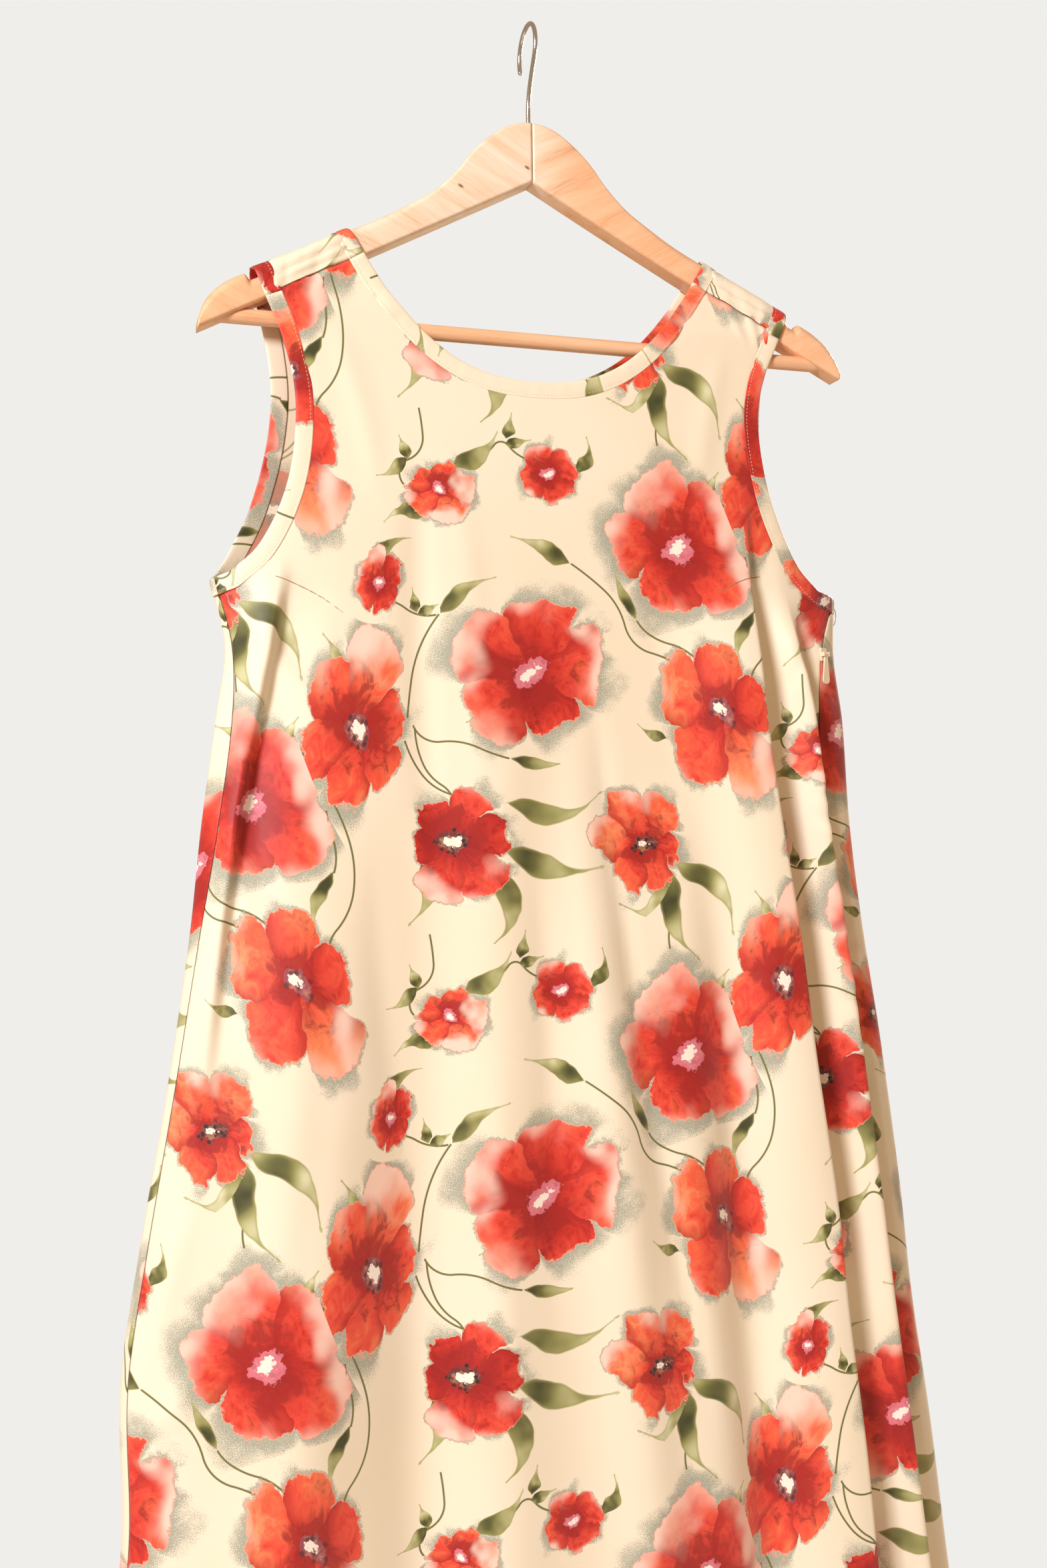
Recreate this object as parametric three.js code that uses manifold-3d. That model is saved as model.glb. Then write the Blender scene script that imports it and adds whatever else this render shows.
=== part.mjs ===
// A sleeveless A-line maxi dress on a contoured wooden hanger.
// Millimetres, +Z up, the front of the dress faces -Y and +X is on the viewer's right.
// The origin is the point of the hook's inner top that bears on a rail.
import * as THREE from 'three';
import { mergeVertices } from 'three/addons/utils/BufferGeometryUtils.js';
import Module from 'manifold-3d';

const wasm = await Module();
wasm.setup();

// ---------------------------------------------------------------- driving sizes

const SEAM_GAP = 0.3;
const PANEL_WALL = 1.2;
const BINDING_WALL = 2.2;
const BINDING_RAISE = 0.5;
const BINDING_WIDTH = 11;

const HEM_Z = -1460;
const UNDERARM_Z = -383;
const UNDERARM_X = 219;
const SIDE_LINE_Y = -4;
const FLATNESS = 5;

// The neckline and the straps, measured from the dress's own middle.
const DRESS_SHIFT = -3;
const NECK_HALF = 125;
const NECK_TOP_Z = -152;
const NECK_DEPTH = { front: 94, back: 88 };
const NECK_POWER = 2.5;
const FLAP = 23;

// The wooden hanger.
const ARM_LENGTH = 225;
const ARM_THICK = 17;
const ARM_FORWARD = 12;
const ARM_LOWER = { top: -108, slope: 0.538 };
const STRAP_REST = { x: 125, z: -153.3, slope: 0.523 };
const CLOTH_CLEARANCE = 1;
const BAR_RADIUS = 5;
const BAR_Z = -217;
const BAR_HALF = 213;
const NOTCH = { x: 188, half: 7, depth: 6 };

// The wire hook, which stands across the hanger.
const WIRE_RADIUS = 1.5;
const RAIL_RADIUS = 16;
const HOOK_FOOT_Z = -92;
const HOOK_NECK_Z = -58;
const HOOK_ARC = { from: THREE.MathUtils.degToRad(215), to: THREE.MathUtils.degToRad(-25) };

// The zip's slider and pull tab, at the top of the right side seam.
const ZIP_TOP_Z = -424;
const SLIDER = { width: 6, height: 9, thick: 2.2, standOff: 0.6 };
const PULL = { length: 21, width: 6, thick: 1.2, barrelRadius: 1.4, barrelHalf: 1.3 };
const PIN_RADIUS = 0.6;
const LUG = { x: 2.2, width: 1.2, height: 3 };

// ---------------------------------------------------------------- tables

/** Rows of values as objects with named columns. */
function table(columns, rows) {
  return rows.map((row) => Object.fromEntries(columns.map((name, i) => [name, row[i]])));
}

// One row for each height. left and right: half widths. front and back: how far each
// panel stands off the side line. The others are lines drawn down the front: both side
// seams, the edge of the left fold, the ridge of the right fold and the edge of its flank.
const SECTIONS = table(['z', 'left', 'right', 'front', 'back', 'seamL', 'foldL', 'ridge', 'flank', 'seamR'], [
  [-383, 217, 224, 20, 17, 214, 176, 145, 178, 221],
  [-425, 208, 223, 21, 18, 204, 184, 148, 184, 207],
  [-470, 214, 229, 22, 19, 205, 193, 151, 193, 205],
  [-540, 224, 233, 24, 21, 215, 207, 160, 201, 206],
  [-610, 232, 241, 27, 24, 227, 217, 170, 211, 217],
  [-700, 246, 255, 30, 28, 242, 228, 180, 222, 228],
  [-800, 264, 268, 33, 31, 260, 243, 193, 234, 240],
  [-880, 276, 276, 35, 33, 272, 255, 200, 243, 249],
  [-970, 276, 289, 37, 35, 272, 256, 210, 254, 260],
  [-1070, 286, 301, 39, 38, 282, 264, 218, 266, 272],
  [-1260, 311, 326, 43, 42, 307, 287, 234, 286, 292],
  [-1460, 335, 350, 46, 46, 331, 309, 250, 305, 311],
]);

// The folds with one steep side, along lines of SECTIONS. Each swells in from and full, and
// sinks away between fades and gone.
const STEEP_FOLDS = table([
  'line', 'sign', 'height', 'rise', 'drop', 'trough', 'from', 'full', 'fades', 'gone',
], [
  ['foldL', -1, 8, 24, 9, 0.35, -365, -420, -560, -760],
  ['ridge', 1, 13, 75, 9, 0.3, -300, -460, -1500, -1600],
  ['flank', 1, 9, 22, 6, 0.15, -375, -440, -1500, -1600],
]);

// The soft folds. x runs from xTop to xHem, the fold swells in between from and full and
// lasts to the hem. A negative height is a trough.
const SOFT_FOLDS = table(['side', 'xTop', 'xHem', 'from', 'full', 'width', 'height'], [
  ['front', -128, -205, -430, -900, 34, 9],
  ['front', -78, -128, -520, -1050, 30, -8],
  ['front', -38, -52, -420, -980, 32, 8],
  ['front', 8, 26, -560, -1100, 28, -7],
  ['front', 58, 98, -400, -860, 30, 8],
  ['front', 96, 168, -460, -900, 24, -6],
  ['back', -140, -236, -420, -880, 30, 11],
  ['back', -92, -158, -520, -1010, 32, -8],
  ['back', -46, -74, -460, -960, 34, 9],
  ['back', 12, 18, -600, -1120, 30, -7],
  ['back', 62, 104, -440, -900, 32, 10],
  ['back', 112, 178, -500, -980, 28, -8],
  ['back', 150, 252, -400, -820, 28, 10],
]);

// The armhole's edge, from the shoulder down to the side seam.
const ARMHOLE = {
  front: [
    [188, -183], [179, -205], [168, -232], [162, -262], [164, -298], [172, -330], [188, -362], [206, -379],
  ],
  back: [
    [188, -183], [181, -210], [175, -240], [174, -268], [179, -300], [190, -335], [204, -364], [213, -379],
  ],
};

// The top outline of one hanger arm, from its middle out to the tip.
const ARM_TOP = table(['x', 'z'], [
  [0, -67], [10, -68.6], [20, -73], [32, -82], [42, -92], [52, -105], [66, -119], [82, -129.5],
  [100, -140.2], [125, -153.3], [160, -171.6], [194, -189.4], [205, -195.5], [214, -203],
  [220, -211.5], [224, -223],
]);

// Where the arm's cross-sections stand, closer at the crown, the notch and the tip.
const ARM_STATIONS = [
  0, 8, 16, 24, 32, 40, 48, 56, 66, 80, 100, 125, 150, 172,
  181, 184.5, 188, 191.5, 195, 202, 209, 215, 220, 223,
];

// ---------------------------------------------------------------- helpers

const clamp01 = (value) => Math.min(1, Math.max(0, value));
const mix = (a, b, share) => a + (b - a) * share;

/** Goes smoothly from 0 at start to 1 at end. */
function smooth(start, end, value) {
  const share = clamp01((value - start) / (end - start));
  return share * share * (3 - 2 * share);
}

/** A smooth curve through a table's column, held level beyond both ends. */
function sampleColumn(rows, key, column, value) {
  const last = rows.length - 1;
  const descending = rows[last][key] < rows[0][key];
  const passed = (row) => (descending ? value < row[key] : value > row[key]);
  if (!passed(rows[0])) return rows[0][column];
  if (passed(rows[last])) return rows[last][column];
  let low = 0;
  while (low < last - 1 && passed(rows[low + 1])) low += 1;
  const slopeAt = (i) => {
    const before = rows[Math.max(0, i - 1)];
    const after = rows[Math.min(last, i + 1)];
    return (after[column] - before[column]) / (after[key] - before[key]);
  };
  const span = rows[low + 1][key] - rows[low][key];
  const share = (value - rows[low][key]) / span;
  const square = share * share;
  const cube = square * share;
  return (2 * cube - 3 * square + 1) * rows[low][column]
    + (cube - 2 * square + share) * span * slopeAt(low)
    + (3 * square - 2 * cube) * rows[low + 1][column]
    + (cube - square) * span * slopeAt(low + 1);
}

/** Every column of SECTIONS at one height. */
function sectionAt(z) {
  const section = {};
  for (const column of Object.keys(SECTIONS[0])) {
    section[column] = sampleColumn(SECTIONS, 'z', column, z);
  }
  return section;
}

/** A smooth open polyline through [x, z] points. */
function curveThrough(points, count) {
  const curve = new THREE.SplineCurve(points.map(([x, z]) => new THREE.Vector2(x, z)));
  return curve.getPoints(count);
}

/** Moves an open polyline sideways, to the left of its direction. */
function offsetCurve(points, distance) {
  return points.map((point, i) => {
    const before = points[Math.max(0, i - 1)];
    const after = points[Math.min(points.length - 1, i + 1)];
    const along = after.clone().sub(before).normalize();
    return new THREE.Vector2(point.x - along.y * distance, point.y + along.x * distance);
  });
}

// ---------------------------------------------------------------- solids

function toSolid(geometry) {
  const bare = geometry.clone();
  bare.deleteAttribute('normal');
  bare.deleteAttribute('uv');
  const merged = mergeVertices(bare, 1e-4);
  return new wasm.Manifold(new wasm.Mesh({
    numProp: 3,
    vertProperties: new Float32Array(merged.attributes.position.array),
    triVerts: new Uint32Array(merged.index.array),
  }));
}

function toGeometry(solid) {
  const mesh = solid.getMesh();
  const geometry = new THREE.BufferGeometry();
  const positions = new Float32Array(mesh.vertProperties);
  geometry.setAttribute('position', new THREE.BufferAttribute(positions, 3));
  geometry.setIndex(new THREE.BufferAttribute(new Uint32Array(mesh.triVerts), 1));
  geometry.computeVertexNormals();
  return geometry;
}

function geometryFrom(points, triangles) {
  const geometry = new THREE.BufferGeometry();
  const positions = points.flatMap((p) => [p.x, p.y, p.z]);
  geometry.setAttribute('position', new THREE.Float32BufferAttribute(positions, 3));
  geometry.setIndex(triangles);
  geometry.computeVertexNormals();
  return geometry;
}

/** A point of a surface with the direction square to it. u runs to the right, v up the cloth. */
function patchAt(surface, u, v, stepU, stepV) {
  const across = surface(u + stepU, v).sub(surface(u - stepU, v));
  const up = surface(u, v + stepV).sub(surface(u, v - stepV));
  return { point: surface(u, v), normal: across.cross(up).normalize() };
}

/** A closed wall along a grid of patches, whose faces lie at two distances from it. */
function wallAlong(grid, outer, inner) {
  const rows = grid.length;
  const columns = grid[0].length;
  const points = [];
  for (const distance of [outer, inner]) {
    for (const { point, normal } of grid.flat()) {
      points.push(point.clone().addScaledVector(normal, distance));
    }
  }
  const at = (layer, r, c) => layer * rows * columns + r * columns + c;
  const triangles = [];
  const quad = (a, b, c, d) => triangles.push(a, b, c, a, c, d);
  for (let r = 0; r < rows - 1; r += 1) {
    for (let c = 0; c < columns - 1; c += 1) {
      quad(at(0, r, c), at(0, r, c + 1), at(0, r + 1, c + 1), at(0, r + 1, c));
      quad(at(1, r, c), at(1, r + 1, c), at(1, r + 1, c + 1), at(1, r, c + 1));
    }
    quad(at(0, r, 0), at(0, r + 1, 0), at(1, r + 1, 0), at(1, r, 0));
    const end = columns - 1;
    quad(at(0, r, end), at(1, r, end), at(1, r + 1, end), at(0, r + 1, end));
  }
  for (let c = 0; c < columns - 1; c += 1) {
    quad(at(0, 0, c), at(1, 0, c), at(1, 0, c + 1), at(0, 0, c + 1));
    const top = rows - 1;
    quad(at(0, top, c), at(0, top, c + 1), at(1, top, c + 1), at(1, top, c));
  }
  return geometryFrom(points, triangles);
}

/** A closed body through equal rings, with flat ends. */
function loft(rings) {
  const count = rings[0].length;
  const points = rings.flat();
  const triangles = [];
  for (let r = 0; r < rings.length - 1; r += 1) {
    for (let i = 0; i < count; i += 1) {
      const a = r * count + i;
      const b = r * count + ((i + 1) % count);
      triangles.push(a, b, b + count, a, b + count, a + count);
    }
  }
  const last = (rings.length - 1) * count;
  for (let i = 1; i < count - 1; i += 1) {
    triangles.push(0, i + 1, i, last, last + i, last + i + 1);
  }
  return geometryFrom(points, triangles);
}

/** A prism of an outline in X and Z, from one Y to another. */
function prism(outline, yFront, yBack) {
  const geometry = new THREE.ExtrudeGeometry(new THREE.Shape(outline), {
    depth: yBack - yFront,
    bevelEnabled: false,
    curveSegments: 1,
  });
  geometry.rotateX(Math.PI / 2);
  geometry.translate(0, yBack, 0);
  return toSolid(geometry);
}

// ---------------------------------------------------------------- the hanger's shape

/** How far forward the hanger's middle plane runs at a distance from its centre. */
function armY(x) {
  return -ARM_FORWARD * (Math.min(Math.abs(x), ARM_LENGTH) / ARM_LENGTH) ** 1.5;
}

const SHOULDER_SPAN = [100, 235];

/** The height of the cloth's outer face where a strap lies over the hanger. */
function shoulderZ(x) {
  const reach = Math.min(SHOULDER_SPAN[1], Math.max(SHOULDER_SPAN[0], Math.abs(x)));
  return STRAP_REST.z + CLOTH_CLEARANCE + PANEL_WALL - STRAP_REST.slope * (reach - STRAP_REST.x);
}

const STRAP_STAND_OFF = ARM_THICK / 2 + CLOTH_CLEARANCE + PANEL_WALL;
const STRAP_BEND = 10;

// ---------------------------------------------------------------- the dress's shape

/** How much a one-sided fold stands out: a slow rise, a crest, a steep drop, a shallow trough. */
function steepFold(distance, rise, drop, trough) {
  if (distance < 0) return smooth(-rise, 0, distance);
  if (distance < drop) return mix(1, -trough, smooth(0, drop, distance));
  return -trough * (1 - smooth(drop, drop + 3 * drop, distance));
}

/** How far the steep folds stand out on the front at x and z. */
function steepRelief(x, z, section) {
  let relief = 0;
  for (const fold of STEEP_FOLDS) {
    const crest = fold.sign * section[fold.line];
    const strength = smooth(fold.from, fold.full, z) * (1 - smooth(fold.fades, fold.gone, z));
    relief += fold.height * strength * steepFold(x - crest, fold.rise, fold.drop, fold.trough);
  }
  return relief;
}

/** How far the soft folds stand out on one side at x and z. */
function softRelief(side, x, z) {
  let relief = 0;
  for (const fold of SOFT_FOLDS) {
    if (fold.side !== side) continue;
    const middle = mix(fold.xTop, fold.xHem, (z - UNDERARM_Z) / (HEM_Z - UNDERARM_Z));
    const strength = smooth(fold.from, fold.full, z);
    relief += fold.height * strength * Math.exp(-(((x - middle) / fold.width) ** 2));
  }
  return relief;
}

/** Turns an x on the front into the ring's own coordinate. */
function ringAt(x, section) {
  const middle = (section.right - section.left) / 2;
  const half = (section.right + section.left) / 2;
  const share = Math.min(1, Math.max(-1, (x - middle) / half));
  return Math.asin(share) / (Math.PI / 2);
}

/** A point of the dress's outer face. ring is -1 at the left edge, 0 at the front's middle,
 *  1 at the right edge, 2 at the back's middle and 3 at the left edge again. */
function bodyPoint(ring, z) {
  const section = sectionAt(z);
  const across = Math.sin(ring * Math.PI / 2);
  const onFront = Math.cos(ring * Math.PI / 2) > 0;
  const x = (section.right - section.left) / 2 + (section.right + section.left) / 2 * across;
  const bulge = Math.sqrt(Math.max(0, 1 - Math.abs(across) ** FLATNESS));
  const edgeShare = smooth(0, 0.6, bulge);
  const hangShare = smooth(-335, -235, z);
  if (onFront) {
    const relief = steepRelief(x, z, section) + softRelief('front', x, z);
    const body = SIDE_LINE_Y - section.front * bulge - relief * edgeShare;
    const bySeam = armY(Math.max(Math.abs(x), NECK_HALF)) - STRAP_STAND_OFF;
    const byBar = Math.min(bySeam, armY(BAR_HALF) - BAR_RADIUS - CLOTH_CLEARANCE - PANEL_WALL);
    const hanging = mix(byBar, bySeam, smooth(-206, -190, z));
    return new THREE.Vector3(x, mix(body, hanging, hangShare), z);
  }
  const body = SIDE_LINE_Y + section.back * bulge + softRelief('back', x, z) * edgeShare;
  return new THREE.Vector3(x, mix(body, armY(x) + STRAP_STAND_OFF, hangShare), z);
}

function bodyPatch(ring, z) {
  return patchAt(bodyPoint, ring, z, 0.001, 0.5);
}

/** A point of a strap where it lies over the hanger. away is the distance to the left of the
 *  middle. along is 0 at the back, 1 at the front, and grows on down the front. */
function shoulderPoint(away, along) {
  const turn = Math.PI * clamp01(along);
  const drop = STRAP_BEND * (1 - Math.sin(turn) + Math.max(0, -along) + Math.max(0, along - 1));
  const y = armY(away) + STRAP_STAND_OFF * Math.cos(turn);
  return new THREE.Vector3(-away, y, shoulderZ(away) - drop);
}

/** How fast the ring's point moves with its coordinate, to turn millimetres into it. */
function ringSpeed(ring, z) {
  return bodyPoint(ring + 0.002, z).distanceTo(bodyPoint(ring, z)) / 0.002;
}

/** The ring coordinates of one side seam, at half the seam's gap before and after it. */
function seamRings(column, z) {
  const section = sectionAt(Math.min(z, UNDERARM_Z));
  const ring = ringAt(column === 'seamL' ? -section.seamL : section.seamR, section);
  const share = SEAM_GAP / 2 / ringSpeed(ring, z);
  return { before: ring - share, at: ring, after: ring + share };
}

/** Evenly spread values, count steps from each stop to the next. */
function spread(stops, counts) {
  const values = [stops[0]];
  counts.forEach((count, i) => {
    for (let step = 1; step <= count; step += 1) {
      values.push(mix(stops[i], stops[i + 1], step / count));
    }
  });
  return values;
}

const SKIRT_HEIGHTS = spread([HEM_Z, -1060, -560, UNDERARM_Z - 14], [6, 10, 5]);

/** The front's grid: columns follow the fold lines, rows run from the hem to the top. */
function frontGrid() {
  const heights = [...SKIRT_HEIGHTS, ...spread([UNDERARM_Z - 14, -206, -172], [8, 3]).slice(1)];
  return heights.map((z) => {
    const section = sectionAt(z);
    const { foldL, ridge, flank } = section;
    const stops = [-foldL, -foldL + 9, ridge - 14, ridge, ridge + 9, flank];
    const folds = stops.map((x) => ringAt(x, section));
    const all = [seamRings('seamL', z).after, ...folds, seamRings('seamR', z).before];
    return spread(all, [3, 2, 14, 2, 2, 3, 2]).map((ring) => bodyPatch(ring, z));
  });
}

/** The back's grid: it wraps round both edges to the side seams, and over the shoulders. */
function backGrid() {
  const counts = [4, 3, 14, 3, 2];
  const grid = SKIRT_HEIGHTS.map((z) => {
    const stops = [seamRings('seamR', z).after, 1.04, 1.25, 2.75, 2.96, seamRings('seamL', z).before + 4];
    return spread(stops, counts).map((ring) => bodyPatch(ring, z));
  });
  const columns = spread([1.01, 1.06, 1.25, 2.75, 2.94, 2.99], counts).map((ring) => (
    { ring, x: bodyPoint(ring, UNDERARM_Z).x }
  ));
  for (const share of spread([0, 1], [8])) {
    grid.push(columns.map(({ ring, x }) => (
      bodyPatch(ring, mix(UNDERARM_Z, shoulderZ(x) - STRAP_BEND, share))
    )));
  }
  for (const along of spread([0, 1, 1 + (FLAP - STRAP_BEND) / STRAP_BEND], [8, 2]).slice(1)) {
    grid.push(columns.map(({ x }) => patchAt(shoulderPoint, -x, along, 0.5, 0.01)));
  }
  return grid;
}

// ---------------------------------------------------------------- the cut lines

/** The neckline of one side, from the left shoulder to the right. */
function neckCurve(side) {
  const points = [];
  for (const share of spread([-1, 1], [28])) {
    const reach = Math.sign(share) * Math.abs(share) ** 0.8;
    const drop = NECK_DEPTH[side] * (1 - Math.abs(reach) ** NECK_POWER);
    points.push(new THREE.Vector2(NECK_HALF * reach + DRESS_SHIFT, NECK_TOP_Z - drop));
  }
  return points;
}

/** One armhole's edge, from the shoulder down and out under the arm. hand is 1 on the right. */
function armholeCurve(side, hand) {
  const under = [[UNDERARM_X + 6, UNDERARM_Z + 1], [UNDERARM_X + 50, UNDERARM_Z]];
  return curveThrough([...ARMHOLE[side], ...under], 26).map((point) => {
    const shift = DRESS_SHIFT * clamp01((point.y + 340) / 100);
    return new THREE.Vector2(hand * point.x + shift, point.y);
  });
}

const FRONT_Y = -90;
const STRAP_Y = -8;
const BACK_Y = 90;
const SKY_Z = -60;

/** Everything above an open edge: a prism for the front panel. The back panel also covers the
 *  top of the front, so it takes the front's edge before the straps and its own behind them. */
function toolAbove(panel, edgeOf) {
  const lift = (side, from, to) => {
    const edge = edgeOf(side);
    const last = edge[edge.length - 1];
    const ends = [edge[0], last].map((point) => new THREE.Vector2(point.x, SKY_Z));
    return prism([ends[0], ...edge, ends[1]], from, to);
  };
  if (panel === 'front') return lift('front', FRONT_Y, BACK_Y);
  return lift('front', FRONT_Y, STRAP_Y).add(lift('back', STRAP_Y, BACK_Y));
}

/** What the neck opening takes from a panel, widened by a distance. */
function neckTool(panel, widen) {
  return toolAbove(panel, (side) => offsetCurve(neckCurve(side), -widen));
}

/** What one armhole takes from a panel, widened by a distance. */
function armholeTool(panel, hand, widen) {
  return toolAbove(panel, (side) => offsetCurve(armholeCurve(side, hand), -hand * widen));
}

/** Everything above the shoulder seam, where the front panel ends. */
function aboveSeamTool(gap) {
  const [inner, outer] = SHOULDER_SPAN;
  const line = [-outer, -inner, inner, outer].map((x) => new THREE.Vector2(x, shoulderZ(x) - FLAP - gap));
  const ends = [-outer, outer].map((x) => new THREE.Vector2(x, SKY_Z));
  return prism([ends[0], ...line, ends[1]], FRONT_Y, BACK_Y);
}

// ---------------------------------------------------------------- the dress's pieces

/** The cloth pieces: two panels, and the bindings that close the neck and the armholes. */
function dressPieces() {
  const pieces = [];
  const clearOfBand = BINDING_WIDTH + SEAM_GAP;
  for (const [side, grid] of [['front', frontGrid()], ['back', backGrid()]]) {
    let panel = toSolid(wallAlong(grid, 0, -PANEL_WALL)).subtract(neckTool(side, clearOfBand));
    let strip = toSolid(wallAlong(grid, BINDING_RAISE, BINDING_RAISE - BINDING_WALL));
    if (side === 'front') {
      panel = panel.subtract(aboveSeamTool(SEAM_GAP));
      strip = strip.subtract(aboveSeamTool(SEAM_GAP));
    }
    for (const [name, hand] of [['left', -1], ['right', 1]]) {
      panel = panel.subtract(armholeTool(side, hand, clearOfBand));
      const band = strip.intersect(armholeTool(side, hand, BINDING_WIDTH));
      const binding = band.subtract(armholeTool(side, hand, 0));
      pieces.push([`armhole_binding_${name}_${side}`, toGeometry(binding)]);
    }
    const neckBinding = strip.intersect(neckTool(side, BINDING_WIDTH)).subtract(neckTool(side, 0));
    pieces.push([`neck_binding_${side}`, toGeometry(neckBinding)]);
    pieces.push([`dress_${side}`, toGeometry(panel)]);
  }
  return pieces;
}

// ---------------------------------------------------------------- the hanger's pieces

/** One section of an arm at a distance from the middle: a bar with rounded edges. */
function armSection(x, hand) {
  const notch = NOTCH.depth * (1 - smooth(0.3, 1, Math.abs(x - NOTCH.x) / NOTCH.half));
  const top = sampleColumn(ARM_TOP, 'x', 'z', x) - notch;
  const bottom = ARM_LOWER.top - ARM_LOWER.slope * x;
  const half = ARM_THICK / 2;
  const upper = Math.min(mix(3, 8, smooth(50, 110, x)), (top - bottom) / 2);
  const lower = Math.min(2.5, (top - bottom) / 3);
  const corners = [
    { y: half - upper, z: top - upper, radius: upper, turn: 0 },
    { y: upper - half, z: top - upper, radius: upper, turn: 1 },
    { y: lower - half, z: bottom + lower, radius: lower, turn: 2 },
    { y: half - lower, z: bottom + lower, radius: lower, turn: 3 },
  ];
  const ring = corners.flatMap(({ y, z, radius, turn }) => {
    const angles = spread([turn, turn + 1], [3]).map((quarter) => quarter * Math.PI / 2);
    return angles.map((angle) => new THREE.Vector3(
      hand * Math.max(x, SEAM_GAP / 2),
      armY(x) + y + radius * Math.cos(angle),
      z + radius * Math.sin(angle),
    ));
  });
  return hand > 0 ? ring : ring.reverse();
}

/** A round rod along X or Z. */
function rod(axis, radius, length, sides) {
  const geometry = new THREE.CylinderGeometry(radius, radius, length, sides);
  if (axis === 'x') geometry.rotateZ(Math.PI / 2);
  if (axis === 'z') geometry.rotateX(Math.PI / 2);
  return geometry;
}

const BAR_Y = armY(BAR_HALF);

function hangerArm(hand) {
  const barHole = rod('x', BAR_RADIUS + SEAM_GAP, 2 * (BAR_HALF + SEAM_GAP), 20);
  barHole.translate(0, BAR_Y, BAR_Z);
  const shankHole = rod('z', WIRE_RADIUS + SEAM_GAP, 40, 16);
  shankHole.translate(0, 0, HOOK_FOOT_Z - SEAM_GAP + 20);
  const arm = toSolid(loft(ARM_STATIONS.map((x) => armSection(x, hand))));
  return toGeometry(arm.subtract(toSolid(barHole)).subtract(toSolid(shankHole)));
}

/** The hook's wire: up from the wood, forward, then over the rail and down behind it. */
function hookGeometry() {
  const reach = RAIL_RADIUS + WIRE_RADIUS;
  const arcPoint = (angle) => (
    new THREE.Vector3(0, reach * Math.cos(angle), reach * Math.sin(angle) - RAIL_RADIUS)
  );
  const start = arcPoint(HOOK_ARC.from);
  const entry = new THREE.Vector3(0, Math.sin(HOOK_ARC.from), -Math.cos(HOOK_ARC.from));
  const neck = new THREE.CubicBezierCurve3(
    new THREE.Vector3(0, 0, HOOK_NECK_Z),
    new THREE.Vector3(0, 0, HOOK_NECK_Z + 12),
    start.clone().addScaledVector(entry, -10),
    start,
  );
  const shank = spread([HOOK_FOOT_Z, HOOK_NECK_Z], [3]).map((z) => new THREE.Vector3(0, 0, z));
  const arc = spread([HOOK_ARC.from, HOOK_ARC.to], [24]).map(arcPoint);
  const route = new THREE.CatmullRomCurve3([...shank, ...neck.getPoints(8).slice(1), ...arc.slice(1)]);
  const wire = new THREE.EllipseCurve(0, 0, WIRE_RADIUS, WIRE_RADIUS).getPoints(8).slice(0, -1);
  const section = new THREE.Shape(wire);
  return new THREE.ExtrudeGeometry(section, { steps: 40, extrudePath: route, curveSegments: 1 });
}

// ---------------------------------------------------------------- the zip's pieces

const PIN_Y = -(SLIDER.standOff + SLIDER.thick + PULL.barrelRadius + SEAM_GAP);

/** The slider's body with two lugs and the pin between them. Its Y points into the cloth. */
function sliderGeometry() {
  const shoulder = SLIDER.width / 2;
  const waist = shoulder * 0.62;
  const half = SLIDER.height / 2;
  const corners = [
    [-waist, -half], [waist, -half], [shoulder, half * 0.4],
    [shoulder * 0.8, half], [-shoulder * 0.8, half], [-shoulder, half * 0.4],
  ];
  const outline = corners.map(([x, z]) => new THREE.Vector2(x, z));
  let body = prism(outline, -SLIDER.standOff - SLIDER.thick, -SLIDER.standOff);
  for (const hand of [-1, 1]) {
    const depth = PULL.barrelRadius * 2 + SEAM_GAP + 0.5;
    const lug = new THREE.BoxGeometry(LUG.width, depth, LUG.height);
    lug.translate(hand * LUG.x, PIN_Y + PULL.barrelRadius + SEAM_GAP + 0.5 - depth / 2, 0);
    body = body.add(toSolid(lug));
  }
  const pin = rod('x', PIN_RADIUS, 2 * LUG.x, 10).translate(0, PIN_Y, 0);
  return toGeometry(body.add(toSolid(pin)));
}

/** The pull tab: a barrel round the pin and a drop-shaped tab that hangs from it. */
function pullGeometry() {
  const widest = -PULL.length + PULL.width / 2;
  const outline = [new THREE.Vector2(-1.1, 0), new THREE.Vector2(-PULL.width / 2, widest)];
  for (const turn of spread([Math.PI, 2 * Math.PI], [10]).slice(1, -1)) {
    const x = PULL.width / 2 * Math.cos(turn);
    outline.push(new THREE.Vector2(x, widest + PULL.width / 2 * Math.sin(turn)));
  }
  outline.push(new THREE.Vector2(PULL.width / 2, widest), new THREE.Vector2(1.1, 0));
  const tab = prism(outline, -PULL.thick / 2, PULL.thick / 2);
  const barrel = toSolid(rod('x', PULL.barrelRadius, 2 * PULL.barrelHalf, 16));
  const bore = toSolid(rod('x', PIN_RADIUS + SEAM_GAP, 4 * PULL.barrelHalf, 12));
  return toGeometry(tab.add(barrel).subtract(bore));
}

/** Where the slider sits on the right side seam, and how far it is turned to lie flat on it. */
function zipSeat() {
  const ring = seamRings('seamR', ZIP_TOP_Z).at;
  const along = bodyPoint(ring + 0.02, ZIP_TOP_Z).sub(bodyPoint(ring - 0.02, ZIP_TOP_Z));
  return { point: bodyPoint(ring, ZIP_TOP_Z), turn: Math.atan2(along.y, along.x) };
}

// ---------------------------------------------------------------- the assembly

const MATERIALS = {
  crepe: { color: '#f3e0bd', roughness: 0.75, metalness: 0 },
  beech: { color: '#e8b98a', roughness: 0.45, metalness: 0 },
  chrome: { color: '#b9bcc0', roughness: 0.2, metalness: 1 },
  nylon: { color: '#f0dfbf', roughness: 0.4, metalness: 0 },
};

const part = new THREE.Group();

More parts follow.
